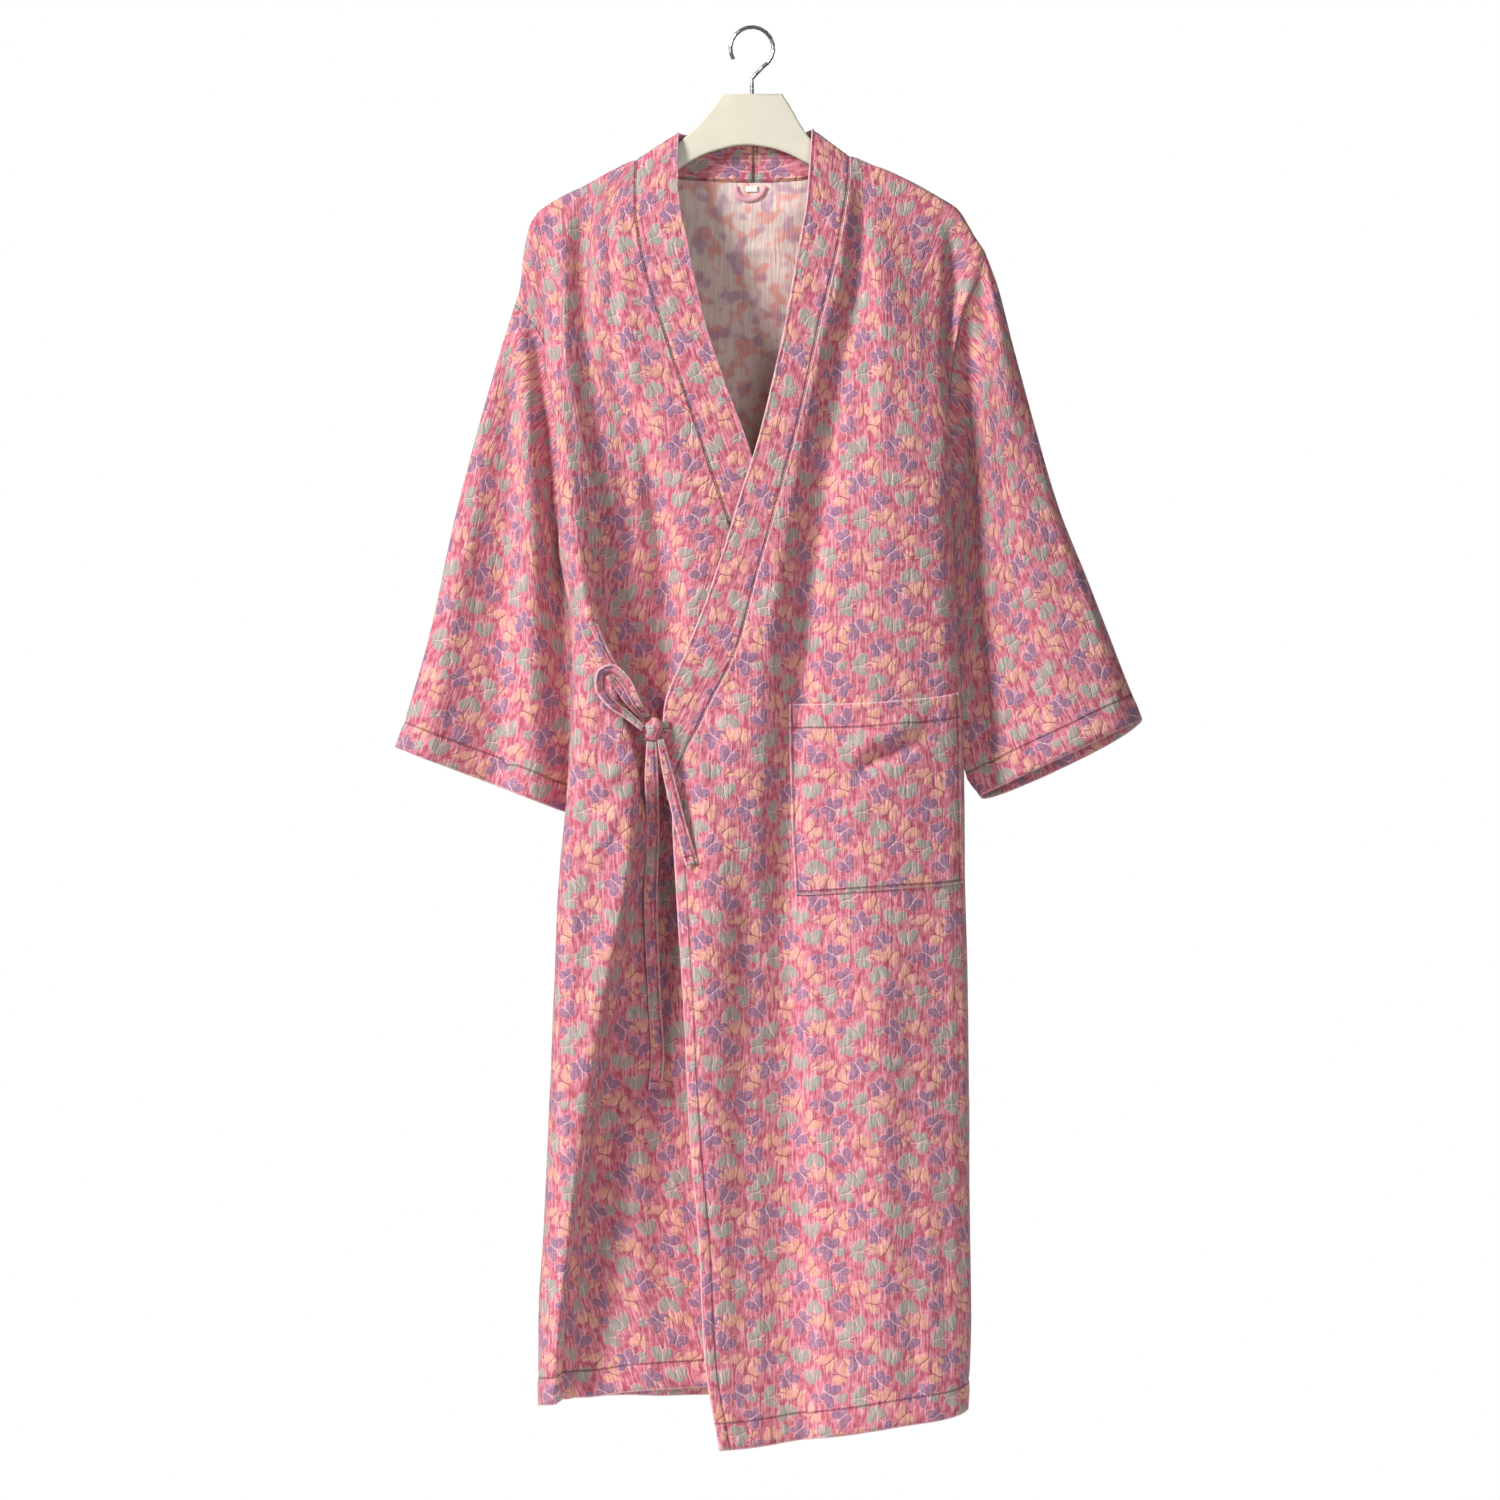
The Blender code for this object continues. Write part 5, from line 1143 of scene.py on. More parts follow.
# Each layer of butterflies, one row a cell: turn in degrees, size, place across and down from the cell's
# middle, width of the left and right wings, how folded the wings are, and colour
BUTTERFLY_COLUMNS = ("turn", "size", "across", "down", "left", "right", "folded", "colour")
PURPLE, GREEN, PEACH = 0.0, 0.5, 1.0
LARGE_LAYER = (
    (28, 12.0, -2, 1, 1.0, 0.9, 0.1, PURPLE), (172, 11.0, 1, -2, 0.9, 1.0, 0.9, GREEN),
    (-48, 10.5, 2, 2, 0.9, 0.7, 0.6, PEACH), (95, 11.5, 0, 2, 0.8, 1.0, 0.8, GREEN),
    (-30, 11.0, -2, 0, 1.0, 0.8, 0.3, PEACH), (62, 12.0, 2, -2, 1.0, 1.0, 0.2, PURPLE),
    (8, 10.5, 2, 1, 0.8, 0.9, 0.7, PEACH), (128, 12.0, -1, -2, 0.9, 0.7, 0.1, PURPLE),
    (-66, 11.0, 1, 2, 1.0, 0.9, 0.5, GREEN), (205, 11.5, -2, 2, 0.8, 1.0, 1.0, GREEN),
    (50, 12.0, 2, -1, 1.0, 0.8, 0.0, PURPLE), (-15, 10.5, -2, -2, 0.9, 0.9, 0.9, PEACH),
)
MIDDLE_LAYER = (
    (100, 11.0, 1, -1, 0.8, 1.0, 0.2, GREEN), (-22, 10.0, -2, 2, 1.0, 0.7, 0.5, PEACH),
    (150, 11.5, 2, 1, 0.9, 1.0, 0.6, PURPLE), (-112, 10.0, -1, -2, 1.0, 0.9, 0.8, PEACH),
    (35, 11.5, 2, 2, 0.8, 1.0, 0.1, PURPLE), (188, 11.0, -2, 0, 1.0, 0.8, 1.0, GREEN),
    (-55, 11.5, 0, 2, 0.8, 0.9, 0.1, PURPLE), (22, 11.0, 2, -2, 1.0, 0.8, 0.9, GREEN),
    (132, 10.5, -1, 1, 1.0, 1.0, 0.3, PEACH), (-142, 11.0, 1, 0, 0.9, 0.8, 0.7, PURPLE),
    (78, 10.0, -2, -1, 0.8, 1.0, 0.2, PEACH), (2, 11.0, 2, 2, 1.0, 0.9, 1.0, GREEN),
)
SMALL_LAYER = (
    (30, 6.0, 1, 2, 0.9, 0.9, 0.9, PEACH), (-70, 6.5, -2, -1, 0.8, 0.8, 0.4, GREEN),
    (120, 5.5, 2, 0, 0.9, 0.7, 0.6, PEACH), (200, 6.5, 0, 2, 0.7, 0.9, 0.8, GREEN),
    (75, 6.0, -1, -2, 0.9, 0.9, 0.5, PEACH), (-30, 6.5, 2, 1, 0.7, 0.9, 0.9, PURPLE),
    (160, 5.5, -2, 1, 0.9, 0.8, 0.2, PEACH), (-100, 6.0, 1, -2, 0.8, 0.9, 0.7, GREEN),
    (50, 6.0, 0, 1, 0.9, 0.9, 0.4, PEACH), (-10, 6.0, -2, 0, 0.9, 0.7, 0.9, PURPLE),
    (95, 5.5, 2, 2, 0.8, 0.9, 0.3, GREEN), (-150, 6.0, 0, -1, 0.9, 0.9, 0.6, PEACH),
)
# Each wing is a rounded lobe, given open and folded: place out from the body and up along it, turn in
# degrees, half length and half width, as shares of the butterfly's size
FORE_WING = ((0.52, 0.27, 0.54, 28, 0.35), (0.50, 0.14, 0.58, 50, 0.44))
HIND_WING = ((0.38, -0.30, 0.42, -40, 0.32), (0.20, -0.34, 0.30, -60, 0.20))
SIZE_SCALE, PLACE_SCALE, TURN_SCALE = 20.0, 20.0, 360.0
BODY_LENGTH, BODY_WIDTH, FEELER_START, FEELER_LENGTH, FEELER_SPREAD = 0.50, 0.055, 0.30, 0.95, 0.45
# How softly the two wings run together, and how wide the line between them is
WING_BLEND, PARTING_WIDTH = 0.06, 0.07


def lobe(shade, out, up, folded, wing):
    """How far inside a wing's lobe a place lies: 1 at its middle and 0 on its edge."""
    open_wing, closed_wing = wing
    place = [shade.math("MULTIPLY_ADD", folded, shut - spread, spread)
             for spread, shut in zip(open_wing, closed_wing)]
    centre_out, centre_up, length, turn, width = place
    turned = shade.node("ShaderNodeVectorRotate", rotation_type="Z_AXIS")
    shade.put(turned.inputs["Vector"], shade.vector(shade.math("SUBTRACT", out, centre_out),
                                                    shade.math("SUBTRACT", up, centre_up)))
    shade.put(turned.inputs["Angle"], shade.math("MULTIPLY", turn, -math.pi / 180))
    shares = shade.node("ShaderNodeVectorMath", operation="DIVIDE")
    shade.put(shares.inputs[0], turned.outputs[0])
    shade.put(shares.inputs[1], shade.vector(length, width, 1.0))
    reach = shade.node("ShaderNodeVectorMath", operation="LENGTH")
    shade.put(reach.inputs[0], shares.outputs[0])
    return shade.math("SUBTRACT", 1.0, reach.outputs["Value"])


def butterflies(shade, across, down, shift, rows):
    """One layer of butterflies: how far inside a wing a place lies, its lines, and the colour's place."""
    width, height = REPEAT[0] / CELLS[0], REPEAT[1] / CELLS[1]
    x = shade.math("MULTIPLY_ADD", across, 1 / width, shift[0])
    y = shade.math("MULTIPLY_ADD", down, 1 / height, shift[1])
    column = shade.math("FLOORED_MODULO", shade.math("FLOOR", x), float(CELLS[0]))
    row = shade.math("FLOORED_MODULO", shade.math("FLOOR", y), float(CELLS[1]))
    cell = shade.math("MULTIPLY_ADD", row, float(CELLS[0]), column)
    count = CELLS[0] * CELLS[1]
    place = shade.math("MULTIPLY_ADD", cell, 1 / count, 0.5 / count)
    named = [dict(zip(BUTTERFLY_COLUMNS, line)) for line in rows]
    first = [((line["turn"] % TURN_SCALE) / TURN_SCALE, line["size"] / SIZE_SCALE,
              line["across"] / PLACE_SCALE + 0.5, line["colour"]) for line in named]
    second = [(line["down"] / PLACE_SCALE + 0.5, line["left"], line["right"], line["folded"])
              for line in named]
    turn, size, place_across, colour = shade.table(place, first)
    place_down, left, right, folded = shade.table(place, second)
    x = shade.math("MULTIPLY", shade.math("SUBTRACT", shade.math("FRACT", x), 0.5), width)
    y = shade.math("MULTIPLY", shade.math("SUBTRACT", shade.math("FRACT", y), 0.5), height)
    x = shade.math("SUBTRACT", x, shade.math("MULTIPLY_ADD", place_across, PLACE_SCALE, -PLACE_SCALE / 2))
    y = shade.math("SUBTRACT", y, shade.math("MULTIPLY_ADD", place_down, PLACE_SCALE, -PLACE_SCALE / 2))
    turned = shade.node("ShaderNodeVectorRotate", rotation_type="Z_AXIS")
    shade.put(turned.inputs["Vector"], shade.vector(x, y))
    shade.put(turned.inputs["Angle"], shade.math("MULTIPLY", turn, 2 * math.pi))
    parts = shade.node("ShaderNodeSeparateXYZ")
    shade.put(parts.inputs[0], turned.outputs[0])
    size = shade.math("MULTIPLY", size, SIZE_SCALE)
    x, up = shade.math("DIVIDE", parts.outputs[0], size), shade.math("DIVIDE", parts.outputs[1], size)
    out = shade.math("MAXIMUM", shade.math("DIVIDE", x, right),
                     shade.math("DIVIDE", shade.math("MULTIPLY", x, -1.0), left))
    fore, hind = lobe(shade, out, up, folded, FORE_WING), lobe(shade, out, up, folded, HIND_WING)
    inside = shade.node("ShaderNodeMath", operation="SMOOTH_MAX")
    for socket, value in zip(inside.inputs, (fore, hind, WING_BLEND)):
        shade.put(socket, value)
    apart = shade.math("ABSOLUTE", shade.math("SUBTRACT", fore, hind))
    parting = shade.math("SUBTRACT", PARTING_WIDTH, apart)
    spread = shade.math("MULTIPLY", shade.math("MAXIMUM", shade.math("SUBTRACT", up, FEELER_START), 0.0),
                        FEELER_SPREAD)
    line = shade.math("SUBTRACT", BODY_WIDTH, shade.math("ABSOLUTE", shade.math("SUBTRACT", out, spread)))
    line = shade.math("MINIMUM", line, shade.math("SUBTRACT", FEELER_LENGTH, up))
    line = shade.math("MINIMUM", line, shade.math("ADD", up, BODY_LENGTH))
    return inside.outputs[0], parting, line, colour


def srgb(red, green, blue):
    """A colour given in screen values from 0 to 255, as the shader wants it."""
    shares = [value / 255 for value in (red, green, blue)]
    linear = [value / 12.92 if value <= 0.04045 else ((value + 0.055) / 1.055) ** 2.4 for value in shares]
    return (*linear, 1.0)


# Colours of the cloth
ROSE, DEEP_ROSE, PALE_ROSE = srgb(218, 131, 146), srgb(190, 92, 111), srgb(243, 190, 196)
WING_COLOURS = (srgb(144, 108, 140), srgb(158, 163, 152), srgb(232, 168, 144))
WING_LIGHTS = (srgb(184, 150, 174), srgb(198, 200, 190), srgb(248, 204, 186))
WING_LINES = (srgb(112, 80, 114), srgb(128, 130, 120), srgb(184, 104, 94))
BODY_COLOURS = (srgb(222, 198, 214), srgb(216, 216, 198), srgb(150, 76, 76))
REVERSE, REVERSE_WARM, REVERSE_COOL = srgb(230, 208, 200), srgb(232, 156, 146), srgb(188, 146, 170)
THREAD = srgb(158, 70, 94)
LOOP_COLOURS = (srgb(222, 150, 165), srgb(240, 190, 198))
LABEL_COLOURS = (srgb(236, 232, 226), srgb(250, 248, 244))
FLOOR_COLOURS = (srgb(244, 244, 243), srgb(250, 250, 250))
# The mottle's scale, its dark and light colours, its least and most roughness, and how metallic it is
PLASTIC = (60.0, srgb(214, 208, 188), srgb(224, 219, 201), 0.28, 0.42)
WIRE = (400.0, srgb(176, 176, 180), srgb(214, 214, 216), 0.18, 0.34, 1.0)
# Grains of the cloth's noise: width and length in millimetres, and detail
STREAK_GRAIN, PATCH_GRAIN, WRINKLE_GRAIN = (1.9, 17.0, 3.0), (5.0, 8.0, 2.0), (5.5, 1.7, 2.0)
WEAVE_GRAIN, WANDER_GRAIN = (1 / 2.2, 1 / 1.6, 1.0), (6.0, 22.0, 2.0)
# How far the crinkles shift the pattern, in millimetres, and how ragged they make its outlines
WANDER, RAGGED = 1.3, 0.13
# How far the painted highlight along a folded edge reaches and how strong it is, and how far the painted
# shade in a stitched groove reaches
RIM_HIGHLIGHT_REACH, RIM_HIGHLIGHT_STRENGTH, GROOVE_SHADE = (0.4, 1.7), 0.8, (0.35, 1.5)
# How a noise or an outline turns into colour or relief: where it starts and ends, and its effect at both
PATCH_ROSE, STREAK_PALE, WRINKLE_DEEP = (0.40, 0.58), (0.50, 0.72, 0.0, 0.55), (0.54, 0.70, 0.0, 0.40)
HALO_EDGE, WING_EDGE, WING_PUFF = (-0.30, 0.0, 0.0, 0.35), (0.0, 0.12, 0.0, 0.90), (-0.15, 0.45, 0.0, 0.7)
WING_WEAR, WING_LIGHT = (0.46, 0.66, 1.0, 0.62), (0.50, 0.74, 0.0, 0.45)
PARTING_LINE, BODY_LINE = (0.0, 0.06, 0.0, 0.8), (0.0, 0.04, 0.0, 0.85)
# On the next line the streaks' numbers are painted light and shade on the crinkles, the weave's are a fine
# grain, and the last is the painted shade in a stitched groove
STREAK_SHADE, WEAVE_SHADE, GROOVE_PAINTED_SHADE = (0.30, 0.70, 0.86, 1.10), (0.2, 0.8, 0.93, 1.07), 0.38
# How high each stands in the cloth's relief, in millimetres
STREAK_RELIEF, WRINKLE_RELIEF, LINE_RELIEF, GROOVE_RELIEF, WEAVE_RELIEF = 0.9, 0.35, 0.25, 0.8, 0.12
RELIEF_STRENGTH = 0.9
# The reverse side: its grains, how far apart its warm and cool patches are drawn, and their ranges
REVERSE_WANDER, REVERSE_STREAK_GRAIN = 2.0, (2.3, 34.0, 3.0)
WARM_GRAIN, COOL_GRAIN = (15.0, 15.0, 1.0), (17.0, 17.0, 1.0)
COOL_SHIFT, WARM_PATCHES, COOL_PATCHES = 311.0, (0.48, 0.68, 0.0, 0.8), (0.52, 0.70, 0.0, 0.7)
# The reverse's streak shading on the next line is painted light and shade on its crinkles
REVERSE_SHADE, REVERSE_RELIEF = (0.3, 0.7, 0.88, 1.1), 0.8
# Plain tape: the pitch and strength of its ribs, its grain, and its relief
RIB_PITCH, RIB_SHARE, TAPE_GRAIN, TAPE_RELIEF = 0.7, 0.15, (0.8, 1.6), 0.2
THREAD_SCALE, THREAD_DARKER, THREAD_ROUGHNESS, MOTTLE_SPAN, FLOOR_SCALE = 900.0, 0.8, 0.6, (0.3, 0.7), 3.0
# The layers of butterflies from the lowest to the topmost, each with its shift in cells
LAYERS = ((MIDDLE_LAYER, (0.5, 0.5)), (LARGE_LAYER, (0.0, 0.0)), (SMALL_LAYER, (0.5, 0.0)))


def cloth_place(shade, wander=1.0):
    """Place on the cloth in millimetres, across and down, as the crinkles shift it."""
    across, down = shade.place_on("cloth")
    across = shade.math("MULTIPLY", across, 1 / MM)
    down = shade.math("MULTIPLY", down, -1 / MM)
    drift = stretched_noise(shade, across, down, *WANDER_GRAIN)
    reach = WANDER * wander
    return shade.math("ADD", across, shade.math("MULTIPLY_ADD", drift, 2 * reach, -reach)), down


def stretched_noise(shade, across, down, width, length, detail=2.0):
    """Noise whose grains have a width and a length in millimetres."""
    return shade.noise(shade.vector(shade.math("MULTIPLY", across, 1 / width),
                                    shade.math("MULTIPLY", down, 1 / length)), 1.0, detail)


def stitched(shade):
    """How deep in a stitched line's groove a place lies, and how strong the painted highlight along a folded
    edge is, from 0 to 1.
    """
    beside, above = (shade.math("ABSOLUTE", shade.math("MULTIPLY", part, 1 / MM))
                     for part in shade.place_on("stitches"))
    from_rim = shade.math("MULTIPLY", shade.place_on("rims")[0], 1 / MM)
    rim_highlight = shade.range(from_rim, *RIM_HIGHLIGHT_REACH, RIM_HIGHLIGHT_STRENGTH, 0.0, smooth=True)
    return shade.range(shade.math("MINIMUM", beside, above), *GROOVE_SHADE, 1.0, 0.0, smooth=True), rim_highlight


def pick(shade, place, colours):
    """One of a few colours, by a place between 0 and 1."""
    made = shade.node("ShaderNodeValToRGB")
    made.color_ramp.interpolation = "CONSTANT"
    stops = made.color_ramp.elements
    while len(stops) < len(colours):
        stops.new(0.5)
    for number, (stop, colour) in enumerate(zip(stops, colours)):
        stop.position = max(0.0, (number - 0.5) / (len(colours) - 1))
        stop.color = colour
    shade.put(made.inputs[0], place)
    return made.outputs[0]


def robe_material(name):
    """Crinkled jacquard cotton: a rose ground with a dense repeat of small raised butterflies."""
    shade = Shading(name)
    across, down = cloth_place(shade)
    streaks, patches, wrinkles, weave = (stretched_noise(shade, across, down, *grain) for grain in
                                         (STREAK_GRAIN, PATCH_GRAIN, WRINKLE_GRAIN, WEAVE_GRAIN))
    colour = shade.mix(shade.range(patches, *PATCH_ROSE), DEEP_ROSE, ROSE)
    colour = shade.mix(shade.range(streaks, *STREAK_PALE), colour, PALE_ROSE)
    colour = shade.mix(shade.range(wrinkles, *WRINKLE_DEEP), colour, DEEP_ROSE)
    relief = shade.math("ADD", shade.math("MULTIPLY", streaks, STREAK_RELIEF),
                        shade.math("MULTIPLY", wrinkles, WRINKLE_RELIEF))
    ragged = shade.math("MULTIPLY_ADD", streaks, 2 * RAGGED, -RAGGED)
    for rows, shift in LAYERS:
        inside, parting, line, kind = butterflies(shade, across, down, shift, rows)
        inside = shade.math("ADD", inside, ragged)
        halo = shade.range(inside, *HALO_EDGE, smooth=True)
        wing = shade.range(inside, *WING_EDGE, smooth=True)
        wing = shade.math("MULTIPLY", wing, shade.range(wrinkles, *WING_WEAR))
        light = shade.range(streaks, *WING_LIGHT)
        wings = shade.mix(light, pick(shade, kind, WING_COLOURS), pick(shade, kind, WING_LIGHTS))
        wings = shade.mix(shade.range(parting, *PARTING_LINE), wings, pick(shade, kind, WING_LINES))
        colour = shade.mix(halo, colour, PALE_ROSE)
        colour = shade.mix(wing, colour, wings)
        line = shade.range(line, *BODY_LINE)
        colour = shade.mix(line, colour, pick(shade, kind, BODY_COLOURS))
        puff = shade.range(inside, *WING_PUFF, smooth=True)
        puff = shade.math("SUBTRACT", puff, shade.math("MULTIPLY", line, LINE_RELIEF))
        relief = shade.math("ADD", relief, puff)
    # Painted light and shade: the colour is made lighter on the raised crinkle streaks and darker in their
    # hollows, then darker in the stitched grooves; the weave adds a fine grain
    fold_shade = shade.range(streaks, *STREAK_SHADE)
    groove, rim_highlight = stitched(shade)
    # Painted highlight: the cloth turns pale rose along its folded edges, where they catch the light
    colour = shade.mix(rim_highlight, colour, PALE_ROSE)
    # Painted shade: the cloth's colour is darkened inside the stitched grooves
    groove_shade = shade.math("MULTIPLY_ADD", groove, -GROOVE_PAINTED_SHADE, 1.0)
    fold_shade = shade.math("MULTIPLY", fold_shade, groove_shade)
    relief = shade.math("SUBTRACT", relief, shade.math("MULTIPLY", groove, GROOVE_RELIEF))
    fold_shade = shade.math("MULTIPLY", fold_shade, shade.range(weave, *WEAVE_SHADE))
    relief = shade.math("ADD", relief, shade.math("MULTIPLY", weave, WEAVE_RELIEF))
    finish_cloth(shade, shade.scaled(colour, fold_shade), relief)
    return shade.material


def finish_cloth(shade, colour, relief):
    """The cotton's shader: a colour, its relief in millimetres, a dull surface and a soft sheen."""
    bump = shade.node("ShaderNodeBump")
    shade.put(bump.inputs["Height"], relief)
    bump.inputs["Distance"].default_value = MM
    bump.inputs["Strength"].default_value = RELIEF_STRENGTH
    for socket, value in (("Base Color", colour), ("Normal", bump.outputs[0]), ("Roughness", 0.86),
                          ("Sheen Weight", 0.18), ("Sheen Roughness", 0.5), ("Specular IOR Level", 0.25)):
        shade.put(shade.shader.inputs[socket], value)


def reverse_material(name):
    """The cloth's reverse side: pale and greyed, with the pattern's colours showing as soft patches."""
    shade = Shading(name)
    across, down = cloth_place(shade, REVERSE_WANDER)
    streaks = stretched_noise(shade, across, down, *REVERSE_STREAK_GRAIN)
    warm = stretched_noise(shade, across, down, *WARM_GRAIN)
    cool = stretched_noise(shade, shade.math("ADD", across, COOL_SHIFT), down, *COOL_GRAIN)
    colour = shade.mix(shade.range(warm, *WARM_PATCHES, smooth=True), REVERSE, REVERSE_WARM)
    colour = shade.mix(shade.range(cool, *COOL_PATCHES, smooth=True), colour, REVERSE_COOL)
    # Painted light and shade: lighter on the raised crinkle streaks and darker in their hollows
    colour = shade.scaled(colour, shade.range(streaks, *REVERSE_SHADE))
    finish_cloth(shade, colour, shade.math("MULTIPLY", streaks, REVERSE_RELIEF))
    return shade.material


def plain_cloth(name, colour, light):
    """Plain cotton or tape with a fine weave."""
    shade = Shading(name)
    across, down = cloth_place(shade, 0.0)
    rib = shade.math("SINE", shade.math("MULTIPLY", down, 2 * math.pi / RIB_PITCH))
    grain = stretched_noise(shade, across, down, *TAPE_GRAIN)
    factor = shade.math("ADD", shade.math("MULTIPLY", rib, RIB_SHARE), grain, clamp=True)
    finish_cloth(shade, shade.mix(factor, colour, light), shade.math("MULTIPLY", factor, TAPE_RELIEF))
    return shade.material


def thread_material(name, colour):
    """Sewing thread."""
    shade = Shading(name)
    place = shade.node("ShaderNodeTexCoord")
    grain = shade.noise(place.outputs["Object"], THREAD_SCALE)
    darker = [part * THREAD_DARKER for part in colour[:3]] + [1.0]
    shade.put(shade.shader.inputs["Base Color"], shade.mix(grain, darker, colour))
    shade.shader.inputs["Roughness"].default_value = THREAD_ROUGHNESS
    return shade.material


def mottled(name, scale, dark, light, least_rough, most_rough, metallic=0.0):
    """A smooth solid with a faint mottle in its colour and its gloss."""
    shade = Shading(name)
    place = shade.node("ShaderNodeTexCoord")
    made = shade.node("ShaderNodeTexNoise")
    shade.put(made.inputs["Vector"], place.outputs["Object"])
    made.inputs["Scale"].default_value = scale
    shade.put(shade.shader.inputs["Base Color"], shade.mix(made.outputs[0], dark, light))
    rough = shade.range(made.outputs[0], *MOTTLE_SPAN, least_rough, most_rough)
    shade.put(shade.shader.inputs["Roughness"], rough)
    shade.shader.inputs["Metallic"].default_value = metallic
    return shade.material


def panels(finer_rows=1, finer_columns=1):
    """The robe's two fronts and its back, with their folds and creases."""
    finer = (finer_rows, finer_columns)
    outer = grid_from(outer_front_net(), OUTER_COLUMNS, *finer)
    under = grid_from(under_front_net(), UNDER_COLUMNS, *finer)
    back = grid_from(back_net(), BACK_COLUMNS, *finer)
    outer_last = sum(OUTER_COLUMNS[:OUTER_FOLD_STATIONS]) * finer_columns + 1
    under_last = sum(UNDER_COLUMNS[:UNDER_FOLD_STATIONS]) * finer_columns + 1
    side = sum(BACK_COLUMNS[:BACK_SIDE_STATIONS]) * finer_columns
    raise_folds(outer, OUTER_FOLDS, -1, 0, outer_last, *finer)
    raise_folds(under, UNDER_FOLDS, -1, 0, under_last, *finer)
    raise_folds(back, BACK_FOLDS, 1, side, back.shape[1] - side, *finer)
    crease(outer, OUTER_CREASES + LONG_VALLEY, -1)
    crease(under, UNDER_CREASES + LONG_VALLEY, -1)
    crease(back, BACK_CREASES, 1, True)
    return outer, under, back


def bands_on(outer, under, back, finer_rows, finer_columns):
    """Both halves of the neckband, left and right, along the fronts' edges and the back neck."""
    wing = sum(BACK_COLUMNS[:WING_STATIONS]) * finer_columns
    neck_columns = sum(BACK_COLUMNS[WING_STATIONS:-WING_STATIONS]) * finer_columns
    centre = wing + neck_columns // 2
    rows = rows_before("hip") * finer_rows + 1
    bands = []
    for side, front, neck, edge_line in (
            ("left", outer, back[0, centre:wing + neck_columns], BAND_EDGE_LEFT),
            ("right", under, back[0, centre:wing:-1], BAND_EDGE_RIGHT)):
        neck = neck.copy()
        neck[0, 0] += CENTRE_SEAM_GAP if side == "left" else -CENTRE_SEAM_GAP
        shoulder = front[0, 0] * (1, 0, 1)
        columns = BAND_COLUMNS * (BAND_FINER if finer_columns > 1 else 1)
        bands.append(band_grid([*neck, shoulder], front[1:rows, 0], edge_line, columns))
    return bands


def dress(piece, slot, *nodes):
    """Lets a piece ride on the robe's one body, and hides the plain pieces that it replaces."""
    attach(piece, "root")
    if nodes:
        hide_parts(*nodes)
    return piece


def make_panels(outer, under, back, cloths, seams):
    """The two fronts and the back. Gives back the outer front's grid, which carries the pocket."""
    front_left = crinkled(outer, 1, SEEDS["front_left"], hem=HEM_DEPTH)
    front_right = crinkled(under, -1, SEEDS["front_right"], hem=HEM_DEPTH)
    back_panel = crinkled(back, -1, SEEDS["back"], hem=HEM_DEPTH)
    below_band = rows_before("hip") * FINER_ROWS
    front_left[below_band:] = rimmed(front_left[below_band:], 1, ["first"], FRONT_EDGE_DEPTH, GROOVE_DEPTH)
    show = on_show_side(front_left, 1)
    seams += [line_at(show, "bottom", HEM_DEPTH), line_at(show[below_band:], "first", FRONT_EDGE_DEPTH),
              line_at(on_show_side(front_right, -1), "bottom", HEM_DEPTH),
              line_at(on_show_side(back_panel, -1), "bottom", HEM_DEPTH)]
    pocket_column = sum(OUTER_COLUMNS[:POCKET_STATIONS[0]]) * FINER_COLUMNS
    pleat_column = sum(UNDER_COLUMNS[:PLEAT_STATION]) * FINER_COLUMNS
    for node, grid, outward, zero in (("front_left", front_left, 1, pocket_column),
                                      ("front_right", front_right, -1, pleat_column),
                                      ("back", back_panel, -1, back.shape[1] // 2)):
        stitches = stitch_places(grid, bottom=HEM_DEPTH)
        if node == "front_left":
            stitches[below_band:] = stitch_places(grid[below_band:], bottom=HEM_DEPTH,
                                                  first=FRONT_EDGE_DEPTH)
        piece = sheet_mesh("robe_" + node, grid, hanging_uv(grid, zero), outward, cloths, stitches=stitches,
                           rims=["bottom", "first"] if node == "front_left" else ["bottom"])
        dress(piece, "robe_cloth", node)
    return front_left


def make_sleeves(outer, under, back, cloths, seams):
    """Both sleeves, each a closed tube that is creased on its front and on its back half."""
    arm = ROWS_UNDER_THE_ARM * FINER_ROWS + 1
    for side, front, edge, table in (("left", outer, back[:, -1], SLEEVE_LEFT),
                                     ("right", under, back[:, 0], SLEEVE_RIGHT)):
        outward = -1 if side == "left" else 1
        node = "sleeve_" + side
        grid = sleeve_grid(side, front[:arm, -1], edge[:arm], table, FINER_ROWS, SLEEVE_FINER)
        uv = sleeve_uv(grid, side)
        plain = grid.copy()
        crease(grid[:, :arm], SLEEVE_CREASES[side], -1, True)
        crease(grid[:, arm - 1:], SLEEVE_CREASES[side], -1, True)
        walls_apart(grid, arm, plain)
        grid = crinkled(grid, outward, SEEDS[node], closed=True, hem=HEM_DEPTH)
        ring = line_at(on_show_side(grid, outward, closed=True), "bottom", HEM_DEPTH)
        seams.append(np.vstack([ring, ring[:1]]))
        stitches = stitch_places(grid, True, bottom=HEM_DEPTH, top=EDGE_STITCH)
        piece = sheet_mesh("robe_" + node, grid, uv, outward, cloths, closed=True, seam=arm - 1,
                           stitches=stitches, rims=["bottom"])
        dress(piece, "robe_cloth", node)


